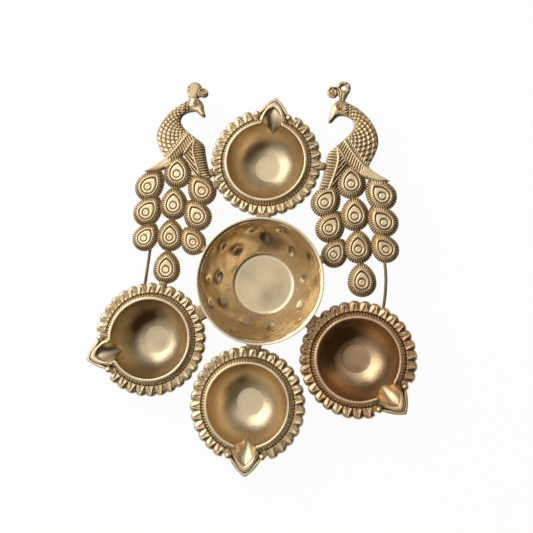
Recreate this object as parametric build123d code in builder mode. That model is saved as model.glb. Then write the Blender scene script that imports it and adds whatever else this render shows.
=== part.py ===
from build123d import *
import math
import os

# Brass aarti lamp that lies flat on a table or a thali: a hammered centre bowl, four petalled oil
# lamps (diyas) round it and two peacocks beside the top one, all brazed into one rigid piece.
# Millimetres. Origin: the centre of the bowl's underside. +Z up, +Y towards the peacocks' heads.

# Centre bowl, spun from sheet
bowl_rim_radius = 41.2
bowl_height = 30.2
bowl_floor_radius = 20.6
bowl_wall = 1.4
bowl_bulge = 2.6            # how far the wall swells outside the straight line from floor to lip
bowl_lip_width = 2.6        # sloping lip, seen from above
bowl_lip_rise = 1.2
bowl_edge = 0.9             # height of the lip's outer edge
bowl_bands = 3              # turned stretches that follow the wall's curve

# Oil lamp, the same pressing four times
diya_mouth_radius = 25.6
diya_height = 22.4
diya_floor_radius = 9.9
diya_wall = 1.2
diya_bulge = 4.0
diya_bands = 2
lip_width = 1.5             # flat lip about the mouth
band_width = 3.2            # milled band that slopes from the lip down to the petals
seat_height = 17.5          # underside of the petal flange, and of the peacocks
flange_thickness = 1.3

# Petals round a diya, all but the spout's sector
petal_reach = 37.5          # from the diya's axis to the tips
petal_count = 28
petal_rise = 2.0            # crown of a petal above the flange
petal_fall = 0.675          # share of a crown's half-width by which its sides lean in
petal_facets = 3            # round a petal's outer end
petal_web = 0.3             # height of the valley between two petals, above the flange
petal_groove = 0.4          # from the milled band's foot to the petals' crowns
spout_sector = 50.0         # degrees without petals

# Wick spout of a diya
trough_radius = 6.4         # round inner end of the trough
trough_centre = 27.4        # from the diya's axis
trough_tip = 37.4
trough_depth = 6.5
spout_slope = 24.0          # of the boat's and the trough's sides, degrees from upright
spout_facets = 3            # to a quarter of its outline
spout_lip = 2.0             # wall round the trough at the top
spout_drop = 0.6            # spout's top below the diya's lip
chevron_tip = 45.6          # pointed plate beyond the spout
chevron_shoulder = 35.6     # where its straight arms start
chevron_half_width = 9.4
chevron_rib = 2.4
chevron_rise = 2.6          # rib's top above the seat
bead_radius = 1.7           # boss on each side of the spout
bead_sides = 6
bead_slope = 25.0           # of its sides, degrees from upright
bead_centre = (31.8, 10.9)

# Peacock, cast flat. Its own origin is the eye of the feather in the middle of the top row.
plate_thickness = 2.4
relief = 0.7                # raised rings, ribs and eyes above the plate
feather_tip = 1.48          # reach of a feather's tip over its radius
feather_slope = 24.0        # of the notched border, degrees from upright
feather_facets = 3          # to a quarter of its outline
ring_share = 0.6            # raised ring over the feather
groove_share = 0.46         # inside of the ring over the feather
ring_facets = 2
boss_radius = 1.9           # boss in a feather's eye
boss_sides = 6
middle_row = {"start": (0.0, 0.0), "step": (1.9, -21.8), "lean": 1.0, "radii": (9.7, 9.5, 9.2, 9.3)}
inner_row = {"start": (-17.6, -12.2), "step": (2.7, -17.4), "lean": -32.0, "radii": (9.6, 9.4, 8.5)}
outer_row = {"start": (19.9, -8.6), "step": (0.8, -17.7), "lean": 38.0, "radii": (9.7, 9.5, 8.6)}
crest_lobe_radius = 4.5
crest_scroll_radius = 3.2
crest_stem = 2.6            # width of the strips that carry the lobe and the scroll
eyelet_radius = 1.75        # hanging hole, in the right crest alone
eye_radius = 1.3
rib_width = 1.3
body_points = {
    "crown_back": (-3.0, 57.2),
    "nape_swell": (11.8, 45.7),
    "back_swell": (18.2, 30.0),
    "wing_root": (11.5, 12.1),
    "wing_top": (16.2, 7.4),
    "wing_tip": (25.4, 1.8),
    "wing_under": (19.2, 0.6),
    "wing_heel": (12.9, 2.2),
    "crotch": (-1.4, 13.5),
    "leg_back": (-11.5, -4.0),
    "leg_foot": (-22.2, -4.8),
    "leg_front": (-18.2, 8.2),
    "breast_low": (-16.2, 18.6),
    "breast_top": (-11.2, 25.3),
    "throat_low": (-1.6, 33.4),
    "throat_bend": (2.2, 40.5),
    "jaw_back": (-2.0, 46.3),
    "jaw_front": (-9.6, 45.8),
    "beak_under": (-12.4, 42.8),
    "beak_tip": (-14.6, 42.6),
    "brow": (-12.9, 51.4),
    "crown_front": (-7.6, 58.2),
    "crest_root": (-5.2, 56.5),
    "eye": (-7.6, 53.3),
}
body_ribs = (
    ((-4.5, 30.5), (4.5, 17.0), (19.0, 4.4)),    # shoulder to the wing's tip
    ((-8.1, 24.5), (-3.0, 15.8), (4.0, 8.6)),    # under the wing
    ((-8.6, 24.0), (-9.6, 12.0), (-14.0, -0.5)),    # down the leg
)
crest_lobes = {"right": (-4.1, 66.7), "left": (-9.9, 60.9)}
crest_scrolls = {"right": (-11.4, 63.6), "left": (-17.2, 57.2)}
left_stature = 0.91         # the left bird's body is shorter and leans in more than the right one's
left_rise = 1.2
left_sway = 0.05            # towards the lamp's middle, over its height
left_shift = 1.4

# Layout: the top and bottom diyas stand off the bowl on a bearing, and every other piece rests in the
# pocket between two neighbours
tab_gaps = {"top": 2.5, "left": 3.84, "bottom": 0.9, "right": 0.9}    # bowl rim to petals
diya_gap = 1.4              # petals to petals, at least
bowl_gaps = {"right": 1.05, "left": 3.11}    # lowest inner feather to the bowl rim
top_gaps = {"right": 1.71, "left": 0.1}      # highest inner feather to the top diya's petals
tail_gaps = {"right": 2.19, "left": 0.05}    # lowest feather to the petals below it
top_bearing = 87.8          # degrees from +X
bottom_bearing = 263.6
left_peacock_turn = -0.5
spout_bearings = {"top": 81.0, "left": 197.5, "bottom": 268.0, "right": 311.0}

# Brazed joins
tab_width = 9.5             # bowl to diya
lug_width = 5.0             # peacock to diya or bowl
join_height = 2.4           # of a tab or lug above the seat
join_bevel = 0.6
join_bite = 3.0             # how far a join reaches into the petals
leg_seats = {"right": (-13.6, 12.0), "left": (-17.0, -0.5)}    # inside the peacocks' legs
wire_radius = 1.0
wire_seat = 34.0            # where a stay wire ends under the petals, from the diya's axis
wire_inset = 5.7            # where it ends under the feather, from the feather's eye
wire_bows = {"right": 1.6, "left": 0.0}
wire_feather_bearings = {"right": -101.0, "left": -47.0}    # from the feather's eye
wire_diya_bearings = {"right": 61.3, "left": 99.1}          # from the diya's axis


def polar(distance, bearing, centre=(0.0, 0.0)):
    """Point at a distance and a bearing, in degrees from +X, from a centre."""
    turn = math.radians(bearing)
    return (centre[0] + distance * math.cos(turn), centre[1] + distance * math.sin(turn))


def bearing_to(centre, point):
    """Bearing, in degrees from +X, from a centre to a point."""
    return math.degrees(math.atan2(point[1] - centre[1], point[0] - centre[0]))


def pocket(first, second, hand):
    """Resting place of a piece that touches two others.

    A touch is (offset, centre, reach): a point of the piece, from its own origin, stays that far
    from the centre. On the way from the first centre to the second, the piece lies on the left for
    hand 1 and on the right for hand -1.
    """
    start = (first[1][0] - first[0][0], first[1][1] - first[0][1])
    end = (second[1][0] - second[0][0], second[1][1] - second[0][1])
    span = math.dist(start, end)
    ahead = ((end[0] - start[0]) / span, (end[1] - start[1]) / span)
    along = (span**2 + first[2] ** 2 - second[2] ** 2) / (2 * span)
    across = hand * math.sqrt(max(first[2] ** 2 - along**2, 0))
    return (start[0] + along * ahead[0] - across * ahead[1], start[1] + along * ahead[1] + across * ahead[0])


def wall_points(foot, mouth, bulge, bands):
    """Points up a spun wall's section, on an arc from foot to mouth that swells outwards."""
    chord = math.hypot(mouth[0] - foot[0], mouth[1] - foot[1])
    along = ((mouth[0] - foot[0]) / chord, (mouth[1] - foot[1]) / chord)
    radius = ((chord / 2) ** 2 + bulge**2) / (2 * bulge)
    half_turn = math.asin(chord / 2 / radius)
    points = []
    for band in range(bands + 1):
        turn = half_turn * (2 * band / bands - 1)
        run = chord / 2 + radius * math.sin(turn)
        swell = radius * math.cos(turn) - radius + bulge
        out = foot[0] + run * along[0] + swell * along[1]
        up = foot[1] + run * along[1] - swell * along[0]
        points.append((out, up))
    return points


def drop_points(radius, reach, facets):
    """Corners of a drop: a half circle about the origin, then two arcs that meet in a tip at +Y.

    Each quarter of the half circle, and each arc, has that many straight facets.
    """
    arch = (reach**2 + radius**2) / (2 * radius)
    arch_turn = math.asin(reach / arch)
    right = [polar(radius, -90 + 90 * step / facets) for step in range(facets + 1)]
    for step in range(1, facets + 1):
        turn = arch_turn * step / facets
        right.append((radius - arch + arch * math.cos(turn), arch * math.sin(turn)))
    left = [(-x, y) for x, y in reversed(right[1:-1])]
    return right + left


def write(builder, node):
    """Label a finished piece and write its STEP file."""
    builder.part.label = node
    export_step(builder.part, f"parts/{node}.step")


os.makedirs("parts", exist_ok=True)

# Centre bowl: the filled outside first, because the brazed joins seat on it
lip_root = (bowl_rim_radius - bowl_lip_width, bowl_height - bowl_lip_rise)
bowl_outside = wall_points(
    (bowl_floor_radius + bowl_wall / 2, 0),
    (lip_root[0] + bowl_wall, lip_root[1] - bowl_edge),
    bowl_bulge,
    bowl_bands,
)
bowl_inside = wall_points((bowl_floor_radius, bowl_wall), lip_root, bowl_bulge, bowl_bands)

with BuildPart() as bowl_body:
    with BuildSketch(Plane.XZ):
        with BuildLine():
            Polyline(
                (0, 0),
                *bowl_outside,
                (bowl_rim_radius, bowl_height - bowl_edge),
                (bowl_rim_radius, bowl_height),
                (0, bowl_height),
                close=True,
            )
        make_face()
    revolve(axis=Axis.Z)

with BuildPart() as centre_bowl:
    add(bowl_body.part)
    with BuildSketch(Plane.XZ):
        with BuildLine():
            Polyline(
                (0, bowl_wall),
                *bowl_inside,
                (bowl_rim_radius - bowl_edge, bowl_height),
                (0, bowl_height),
                close=True,
            )
        make_face()
    revolve(axis=Axis.Z, mode=Mode.SUBTRACT)
write(centre_bowl, "centre_bowl")

# One petal: a round-ended tongue of the flange, with a crown that has sloping sides
flange_top = seat_height + flange_thickness
band_top = diya_mouth_radius + lip_width
band_foot = band_top + band_width
petal_pitch = (360 - spout_sector) / petal_count
half_pitch = math.sin(math.radians(petal_pitch / 2))
petal_root = band_foot + petal_groove
crown_half_width = min(petal_root * half_pitch, (petal_reach - petal_root) / 2)
petal_lean = petal_fall * crown_half_width / petal_rise
petal_spread = petal_web * petal_lean
petal_half_width = (petal_reach * half_pitch + petal_spread) / (1 + half_pitch)
petal_end = [
    polar(petal_half_width, 180 * facet / petal_facets - 90, (petal_reach - petal_half_width, 0))
    for facet in range(petal_facets + 1)
]


def petal_points(root):
    """Corners of a petal from a root at that distance from the diya's axis to its round end."""
    half_width = root * half_pitch + petal_spread
    beyond = [point for point in petal_end if point[0] > root]
    return [(root, -half_width), *beyond, (root, half_width)]


with BuildPart() as petal:
    with BuildSketch(Plane.XY.offset(seat_height)):
        with BuildLine():
            Polyline(*petal_points(band_top), close=True)
        make_face()
    extrude(amount=flange_thickness)
    with BuildSketch(Plane.XY.offset(flange_top)):
        with BuildLine():
            Polyline(*petal_points(petal_root), close=True)
        make_face()
    extrude(amount=petal_rise, taper=math.degrees(math.atan(petal_lean)))

# One diya with its spout towards +X
diya_inside = wall_points(
    (diya_floor_radius, diya_wall),
    (diya_mouth_radius, diya_height),
    diya_bulge,
    diya_bands,
)
diya_outside = wall_points(
    (diya_floor_radius + diya_wall, 0),
    (diya_mouth_radius + diya_wall, seat_height),
    diya_bulge,
    diya_bands,
)
spout_top = diya_height - spout_drop
boat_reach = trough_tip - trough_centre + spout_lip * math.sqrt(2)

with BuildPart() as diya:
    with BuildSketch(Plane.XZ):
        with BuildLine():
            Polyline(
                (0, 0),
                *diya_outside,
                (band_foot, seat_height),
                (band_foot, flange_top),
                (band_top, diya_height),
                *reversed(diya_inside),
                (0, diya_wall),
                close=True,
            )
        make_face()
    revolve(axis=Axis.Z)
    first_petal = (spout_sector + petal_pitch) / 2
    with PolarLocations(0, petal_count, first_petal, 360 - spout_sector):
        add(petal.part)
    # Pointed plate, wide enough for the beads, and its raised chevron
    bead_reach = bead_centre[1] + bead_radius
    with BuildSketch(Plane.XY.offset(seat_height)):
        with BuildLine():
            Polyline(
                (diya_mouth_radius, -bead_reach),
                (bead_centre[0], -bead_reach),
                (chevron_shoulder, -chevron_half_width),
                (chevron_tip, 0),
                (chevron_shoulder, chevron_half_width),
                (bead_centre[0], bead_reach),
                (diya_mouth_radius, bead_reach),
                close=True,
            )
        make_face()
    extrude(amount=flange_thickness)
    arm = math.hypot(chevron_tip - chevron_shoulder, chevron_half_width)
    rib_back = chevron_rib * arm / chevron_half_width
    with BuildSketch(Plane.XY.offset(seat_height)):
        with BuildLine():
            Polyline(
                (chevron_shoulder - rib_back, -chevron_half_width),
                (chevron_shoulder, -chevron_half_width),
                (chevron_tip, 0),
                (chevron_shoulder, chevron_half_width),
                (chevron_shoulder - rib_back, chevron_half_width),
                (chevron_tip - rib_back, 0),
                close=True,
            )
        make_face()
    extrude(amount=chevron_rise)
    # Boat of the spout under the trough, and a round boss each side of it
    with BuildSketch(Plane((trough_centre, 0, spout_top), x_dir=(0, -1, 0), z_dir=(0, 0, 1))):
        with BuildLine():
            Polyline(*drop_points(trough_radius + spout_lip, boat_reach, spout_facets), close=True)
        make_face()
    extrude(amount=-trough_depth - diya_wall, taper=spout_slope)
    with BuildSketch(Plane.XY.offset(flange_top)):
        with Locations(bead_centre, (bead_centre[0], -bead_centre[1])):
            RegularPolygon(bead_radius, bead_sides)
    extrude(amount=bead_radius, taper=bead_slope)
    # The trough and the basin are open above
    with BuildSketch(Plane((trough_centre, 0, spout_top), x_dir=(0, -1, 0), z_dir=(0, 0, 1))):
        with BuildLine():
            Polyline(*drop_points(trough_radius, trough_tip - trough_centre, spout_facets), close=True)
        make_face()
    extrude(amount=-trough_depth, taper=spout_slope, mode=Mode.SUBTRACT)
    with BuildSketch(Plane.XY.offset(spout_top)):
        with Locations((trough_centre, 0)):
            Circle(trough_radius)
    extrude(amount=spout_drop, mode=Mode.SUBTRACT)
    with BuildSketch(Plane.XZ):
        with BuildLine():
            Polyline((0, diya_wall), *diya_inside, (0, diya_height), close=True)
        make_face()
    revolve(axis=Axis.Z, mode=Mode.SUBTRACT)

# Feathers of a peacock's train, as (centre, lean, radius)
feathers = {}
for row_name, row in (("middle", middle_row), ("inner", inner_row), ("outer", outer_row)):
    for place, radius in enumerate(row["radii"]):
        centre = (row["start"][0] + place * row["step"][0], row["start"][1] + place * row["step"][1])
        feathers[row_name, place] = (centre, row["lean"], radius)


def feather_plane(feather, height):
    """Plane on a feather's eye at a height, with its Y towards the feather's tip."""
    centre, lean, radius = feather
    tilt = math.radians(lean)
    return Plane((centre[0], centre[1], height), x_dir=(math.cos(tilt), math.sin(tilt), 0), z_dir=(0, 0, 1))


def stand(point, side):
    """A point of the body as one bird holds it."""
    if side == "right":
        return point
    return (point[0] - left_sway * point[1] - left_shift, left_stature * point[1] + left_rise)


# Peacocks that face -X, lying on their flat backs
birds = {}
for side in ("right", "left"):
    body = {name: stand(point, side) for name, point in body_points.items()}
    crest = (crest_lobes[side], crest_scrolls[side])
    with BuildPart() as bird:
        with BuildSketch(Plane.XY):
            with BuildLine():
                # Nape and back, then the wing to its tip and back under it
                nape = ThreePointArc(body["crown_back"], body["nape_swell"], body["back_swell"])
                TangentArc(nape @ 1, body["wing_root"], tangent=nape % 1)
                ThreePointArc(body["wing_root"], body["wing_top"], body["wing_tip"])
                wing = ThreePointArc(body["wing_tip"], body["wing_under"], body["wing_heel"])
                TangentArc(wing @ 1, body["crotch"], tangent=wing % 1)
                # Leg, then the breast, throat and jaw
                Polyline(body["crotch"], body["leg_back"], body["leg_foot"])
                leg = ThreePointArc(body["leg_foot"], body["leg_front"], body["breast_low"])
                breast = TangentArc(leg @ 1, body["breast_top"], tangent=leg % 1)
                throat = TangentArc(breast @ 1, body["throat_low"], tangent=breast % 1)
                neck = TangentArc(throat @ 1, body["throat_bend"], tangent=throat % 1)
                jaw = TangentArc(neck @ 1, body["jaw_back"], tangent=neck % 1)
                TangentArc(jaw @ 1, body["jaw_front"], tangent=jaw % 1)
                # Beak, brow and crown
                Polyline(body["jaw_front"], body["beak_under"], body["beak_tip"])
                ThreePointArc(body["beak_tip"], body["brow"], body["crown_front"])
                Line(body["crown_front"], body["crown_back"])
            make_face()
        extrude(amount=plate_thickness)
        # Crest: a round lobe and a smaller scroll, each on a strip
        with BuildSketch(Plane.XY):
            for tip, radius in zip(crest, (crest_lobe_radius, crest_scroll_radius)):
                with BuildLine():
                    Line(body["crest_root"], tip)
                trace(line_width=crest_stem)
                with Locations(tip):
                    Circle(radius)
        extrude(amount=plate_thickness)
        # Train of feathers
        for feather in feathers.values():
            with BuildSketch(feather_plane(feather, 0)):
                with BuildLine():
                    Polyline(*drop_points(feather[2], feather[2] * feather_tip, feather_facets), close=True)
                make_face()
            extrude(amount=plate_thickness, taper=feather_slope)
        for feather in feathers.values():
            ring_radius = feather[2] * ring_share
            ring_reach = ring_radius * feather_tip
            with BuildSketch(feather_plane(feather, plate_thickness)):
                with BuildLine():
                    Polyline(*drop_points(ring_radius, ring_reach, ring_facets), close=True)
                make_face()
            extrude(amount=relief)
        for feather in feathers.values():
            groove_radius = feather[2] * groove_share
            groove_reach = groove_radius * feather_tip
            with BuildSketch(feather_plane(feather, plate_thickness)):
                with BuildLine():
                    Polyline(*drop_points(groove_radius, groove_reach, ring_facets), close=True)
                make_face()
                RegularPolygon(boss_radius, boss_sides, mode=Mode.SUBTRACT)
            extrude(amount=relief, mode=Mode.SUBTRACT)
        # Eye, wing and leg ribs
        with BuildSketch(Plane.XY.offset(plate_thickness)):
            with Locations(body["eye"]):
                RegularPolygon(eye_radius, boss_sides)
            for rib in body_ribs:
                with BuildLine():
                    ThreePointArc(*[stand(point, side) for point in rib])
                trace(line_width=rib_width)
        extrude(amount=relief)
    birds[side] = bird

# Places of the diyas and the peacocks
left_turn = math.radians(left_peacock_turn)


def on_right(local):
    """Offset of a peacock's own point on the right peacock."""
    return local


def on_left(local):
    """Offset of a peacock's own point on the left peacock, which is mirrored and a little turned."""
    flipped = (-local[0], local[1])
    return (
        flipped[0] * math.cos(left_turn) - flipped[1] * math.sin(left_turn),
        flipped[0] * math.sin(left_turn) + flipped[1] * math.cos(left_turn),
    )


bowl_axis = (0.0, 0.0)
own_axis = (0.0, 0.0)
inner_low = feathers["inner", 2]
inner_top = feathers["inner", 0]
tail = feathers["middle", 3]
stand_offs = {side: bowl_rim_radius + gap + petal_reach for side, gap in tab_gaps.items()}
centres = {
    "top": polar(stand_offs["top"], top_bearing),
    "bottom": polar(stand_offs["bottom"], bottom_bearing),
}
places = {}
for side, on_side, hand in (("right", on_right, -1), ("left", on_left, 1)):
    on_rim = (on_side(inner_low[0]), bowl_axis, bowl_rim_radius + bowl_gaps[side] + inner_low[2])
    on_top = (on_side(inner_top[0]), centres["top"], petal_reach + top_gaps[side] + inner_top[2])
    on_bowl = (own_axis, bowl_axis, stand_offs[side])
    on_bottom = (own_axis, centres["bottom"], 2 * petal_reach + diya_gap)
    tail_offset = on_side(tail[0])
    tail_reach = tail[2] + tail_gaps[side] + petal_reach
    place = pocket(on_rim, on_top, hand)
    tail_eye = (place[0] + tail_offset[0], place[1] + tail_offset[1])
    centre = pocket(on_bowl, (own_axis, tail_eye, tail_reach), hand)
    # With too little room beside the bottom diya, that one stops this one, which lifts the peacock
    if math.dist(centre, centres["bottom"]) < on_bottom[2]:
        centre = pocket(on_bottom, on_bowl, hand)
        place = pocket((tail_offset, centre, tail_reach), on_top, hand)
    centres[side] = centre
    places[side] = place


def right_point(local):
    """A peacock's own point, on the right peacock in its place."""
    offset = on_right(local)
    return (places["right"][0] + offset[0], places["right"][1] + offset[1])


def left_point(local):
    """A peacock's own point, on the left peacock in its place."""
    offset = on_left(local)
    return (places["left"][0] + offset[0], places["left"][1] + offset[1])


# The four diyas
diyas = {}
for side, centre in centres.items():
    with BuildPart() as placed_diya:
        with Locations(Location((centre[0], centre[1], 0), (0, 0, spout_bearings[side]))):
            add(diya.part)
    diyas[side] = placed_diya
    write(placed_diya, f"{side}_diya")

# The two peacocks; the right one's crest is drilled to hang the lamp up
with BuildPart() as right_peacock:
    with Locations((*places["right"], seat_height)):
        add(birds["right"].part)
    with Locations((*right_point(crest_lobes["right"]), seat_height + plate_thickness)):
        Hole(eyelet_radius)
write(right_peacock, "right_peacock")

mirrored_bird = mirror(birds["left"].part, about=Plane.YZ, mode=Mode.PRIVATE)
with BuildPart() as left_peacock:
    with Locations(Location((*places["left"], seat_height), (0, 0, left_peacock_turn))):
        add(mirrored_bird)
write(left_peacock, "left_peacock")


def braze(node, start, end, width, seats):
    """Flat brazed bridge from inside one piece to inside another, cut to the faces it seats on."""
    length = math.hypot(end[0] - start[0], end[1] - start[1])
    middle = ((start[0] + end[0]) / 2, (start[1] + end[1]) / 2, seat_height)
    along = (end[0] - start[0], end[1] - start[1], 0)
    with BuildPart() as bridge:
        with BuildSketch(Plane(middle, x_dir=along, z_dir=(0, 0, 1))):
            Rectangle(length, width)
        extrude(amount=join_height)
        chamfer(bridge.faces().sort_by(Axis.Z)[-1].edges(), join_bevel)
        for seat in seats:
            add(seat, mode=Mode.SUBTRACT)
    write(bridge, node)


# Tabs from the bowl's wall to each diya's petals
for side, centre in centres.items():
    distance = math.hypot(centre[0], centre[1])
    bearing = bearing_to(bowl_axis, centre)
    start = polar(bowl_floor_radius, bearing)
    end = polar(distance - petal_reach + join_bite, bearing)
    braze(f"{side}_bowl_tab", start, end, tab_width, [bowl_body.part, diyas[side].part])

# Lugs that hold the peacocks to the top diya and to the bowl
for node, side_point, peacock, leg_seat in (
    ("right_leg_lug", right_point, right_peacock, leg_seats["right"]),
    ("left_leg_lug", left_point, left_peacock, leg_seats["left"]),
):
    start = side_point(leg_seat)
    end = polar(petal_reach - join_bite, bearing_to(centres["top"], start), centres["top"])
    braze(node, start, end, lug_width, [peacock.part, diyas["top"].part])

start = left_point(inner_top[0])
end = polar(petal_reach - join_bite, bearing_to(centres["top"], start), centres["top"])
braze("left_feather_lug", start, end, lug_width, [left_peacock.part, diyas["top"].part])

for node, side_point, peacock in (
    ("right_bowl_lug", right_point, right_peacock),
    ("left_bowl_lug", left_point, left_peacock),
):
    start = side_point(inner_low[0])
    end = polar(bowl_floor_radius, bearing_to(bowl_axis, start))
    braze(node, start, end, lug_width, [peacock.part, bowl_body.part])

start = left_point(tail[0])
end = polar(petal_reach - join_bite, bearing_to(centres["left"], start), centres["left"])
braze("left_tail_lug", start, end, lug_width, [left_peacock.part, diyas["left"].part])

# Stay wires from the lowest outer feather to the diya below, under both
wire_height = seat_height - wire_radius
outer_low = feathers["outer", 2]
for side, side_point in (("right", right_point), ("left", left_point)):
    upper = polar(wire_inset, wire_feather_bearings[side], side_point(outer_low[0]))
    lower = polar(wire_seat, wire_diya_bearings[side], centres[side])
    bow = wire_bows[side]
    span = math.hypot(upper[0] - lower[0], upper[1] - lower[1])
    out = ((upper[1] - lower[1]) / span, (lower[0] - upper[0]) / span)
    crown = ((upper[0] + lower[0]) / 2 + bow * out[0], (upper[1] + lower[1]) / 2 + bow * out[1])
    with BuildPart() as wire:
        with BuildLine() as route:
            if bow:
                ThreePointArc((*lower, wire_height), (*crown, wire_height), (*upper, wire_height))
            else:
                Line((*lower, wire_height), (*upper, wire_height))
        with BuildSketch(Plane(route.line @ 0, z_dir=route.line % 0)):
            Circle(wire_radius)
        sweep()
    write(wire, f"{side}_stay_wire")
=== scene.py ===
"""Looks of a brass aarti lamp: a hammered bowl, four petalled diyas and two peacocks, brazed flat."""
import logging
import math
from dataclasses import dataclass
from enum import Enum

import bmesh
import bpy
import numpy as np
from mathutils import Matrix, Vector


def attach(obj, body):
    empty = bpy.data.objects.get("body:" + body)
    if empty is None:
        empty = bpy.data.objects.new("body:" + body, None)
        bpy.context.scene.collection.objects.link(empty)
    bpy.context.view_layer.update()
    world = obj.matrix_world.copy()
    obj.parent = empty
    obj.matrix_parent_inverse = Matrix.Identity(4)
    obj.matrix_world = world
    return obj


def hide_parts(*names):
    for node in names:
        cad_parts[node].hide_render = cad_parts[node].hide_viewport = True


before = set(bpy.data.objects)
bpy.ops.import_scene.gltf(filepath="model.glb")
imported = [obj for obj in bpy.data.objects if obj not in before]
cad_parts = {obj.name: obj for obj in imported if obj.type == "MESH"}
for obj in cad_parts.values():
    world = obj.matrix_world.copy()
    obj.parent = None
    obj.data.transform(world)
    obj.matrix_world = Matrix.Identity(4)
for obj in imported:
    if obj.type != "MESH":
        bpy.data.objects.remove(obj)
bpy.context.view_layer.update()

MM = 0.001                      # sizes below are in millimetres, Blender's are in metres
BODY = "root"
SEAT_HEIGHT = 17.5              # underside of the petals and of the peacocks
LEE = math.radians(-15.0)       # bearing of the side away from the light, where shade is painted into the colour
LOG = logging.getLogger("aarti_lamp")

Point = tuple[float, float]
Line = tuple[Point, ...]
Triple = tuple[float, float, float]
Colour = Triple
Amount = np.ndarray | float
Ring = tuple[Amount, Amount, Amount]     # radius, height and patina, fixed or station by station
Piece = bpy.types.Object
Socket = bpy.types.NodeSocket


class Side(Enum):
    """The two peacocks, as seen in the photograph."""

    RIGHT = "right"
    LEFT = "left"


class Slot(Enum):
    """Material slots of the part's record."""

    BOWL = "bowl_brass"
    DIYA = "diya_brass"
    PEACOCK = "peacock_brass"
    JOIN = "join_brass"


def ramp(low: float, high: float, value: Amount) -> Amount:
    """Return a smooth step from 0 at low to 1 at high."""
    share = np.clip((value - low) / (high - low), 0.0, 1.0)
    return share * share * (3.0 - 2.0 * share)


def bump(centre: float, width: float, value: Amount) -> Amount:
    """Return a rounded ridge of height 1 at centre."""
    return np.exp(-((value - centre) / width) ** 2)


def waves(run: np.ndarray, pitch: float) -> np.ndarray:
    """Return ridges between 0 and 1 that follow each other at a pitch."""
    return 0.5 + 0.5 * np.cos(2.0 * math.pi * run / pitch)


def arc_radius(half: float, rise: float) -> float:
    """Return the radius of an arc from half its chord and its rise."""
    return (half ** 2 + rise ** 2) / (2.0 * rise)


def swing_from(bearing: float, angles: np.ndarray) -> np.ndarray:
    """Return how far angles lie from a bearing, at most half a turn either way, in radians."""
    return (angles - bearing + math.pi) % (2.0 * math.pi) - math.pi


def clear_bench() -> None:
    """Leave edit mode and deselect everything."""
    if bpy.context.mode != "OBJECT":
        bpy.ops.object.mode_set(mode="OBJECT")
    bpy.ops.object.select_all(action="DESELECT")


def take(piece: Piece) -> None:
    """Make one piece the only selected and active object.

    Args:
        piece: the piece.
    """
    clear_bench()
    piece.select_set(True)
    bpy.context.view_layer.objects.active = piece


def rename(piece: Piece, name: str) -> Piece:
    """Give a piece and its mesh the same name.

    Args:
        piece: the piece.
        name: its new name.

    Returns:
        The same piece.
    """
    piece.name = name
    piece.data.name = name
    return piece


def face_outwards(piece: Piece) -> None:
    """Turn all faces of a closed piece outwards.

    Args:
        piece: the piece.
    """
    take(piece)
    bpy.ops.object.mode_set(mode="EDIT")
    bpy.ops.mesh.select_all(action="SELECT")
    bpy.ops.mesh.normals_make_consistent(inside=False)
    bpy.ops.object.mode_set(mode="OBJECT")


def loft(name: str, rings: np.ndarray, patina_and_shade: np.ndarray) -> Piece:
    """Extrude a closed loop ring by ring and close both ends.

    Args:
        name: name of the new piece.
        rings: ring, station and coordinate of every point, in millimetres.
        patina_and_shade: how dark the tarnish and the painted shade are at every point, 0 to 1.

    Returns:
        The closed piece, with its point attributes patina_and_shade and turning.
    """
    clear_bench()
    bpy.ops.mesh.primitive_circle_add(vertices=rings.shape[1], radius=MM)
    piece = rename(bpy.context.active_object, name)
    bpy.ops.object.mode_set(mode="EDIT")
    mesh = bmesh.from_edit_mesh(piece.data)
    mesh.verts.layers.int.new("station")
    mesh.verts.layers.float.new("patina_and_shade")
    mesh.verts.layers.float.new("turning")
    for place, vert in enumerate(mesh.verts):
        vert[mesh.verts.layers.int["station"]] = place
    for level, ring in enumerate(rings):
        if level > 0:
            bpy.ops.mesh.extrude_edges_indiv()
        mesh = bmesh.from_edit_mesh(piece.data)
        station = mesh.verts.layers.int["station"]
        dark = mesh.verts.layers.float["patina_and_shade"]
        turning = mesh.verts.layers.float["turning"]
        for vert in mesh.verts:
            if vert.select:
                point = ring[vert[station]]
                vert.co = point * MM
                vert[dark] = patina_and_shade[level, vert[station]]
                vert[turning] = math.hypot(point[0], point[1])
        if level == 0:
            bpy.ops.mesh.edge_face_add()
    bpy.ops.mesh.edge_face_add()
    bpy.ops.object.mode_set(mode="OBJECT")
    piece.data.attributes.remove(piece.data.attributes["station"])
    face_outwards(piece)
    return piece


def copy_of(piece: Piece, name: str) -> Piece:
    """Copy a piece and its mesh.

    Args:
        piece: the piece.
        name: name of the copy.

    Returns:
        The copy, with a mesh of its own.
    """
    take(piece)
    bpy.ops.object.duplicate()
    return rename(bpy.context.active_object, name)


def set_down(piece: Piece, place: Triple, turn: float = 0.0, size: float = 1.0) -> None:
    """Put a piece in its place and apply the place to its mesh.

    Args:
        piece: the piece, modelled about its own origin.
        place: where its origin goes, in millimetres.
        turn: turn about Z in degrees.
        size: scale about its own origin.
    """
    take(piece)
    piece.location = Vector(place) * MM
    piece.rotation_euler = (0.0, 0.0, math.radians(turn))
    piece.scale = (size, size, size)
    bpy.ops.object.transform_apply(location=True, rotation=True, scale=True)


def join(pieces: list[Piece], name: str) -> Piece:
    """Join pieces into one object.

    Args:
        pieces: the pieces.
        name: name of the joined piece.

    Returns:
        The first piece, with all the meshes.
    """
    take(pieces[0])
    for piece in pieces:
        piece.select_set(True)
    bpy.ops.object.join()
    return rename(pieces[0], name)


def smooth_shade(piece: Piece, angle: float) -> None:
    """Shade a piece smooth up to an angle in degrees."""
    take(piece)
    bpy.ops.object.shade_smooth_by_angle(angle=math.radians(angle))


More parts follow.
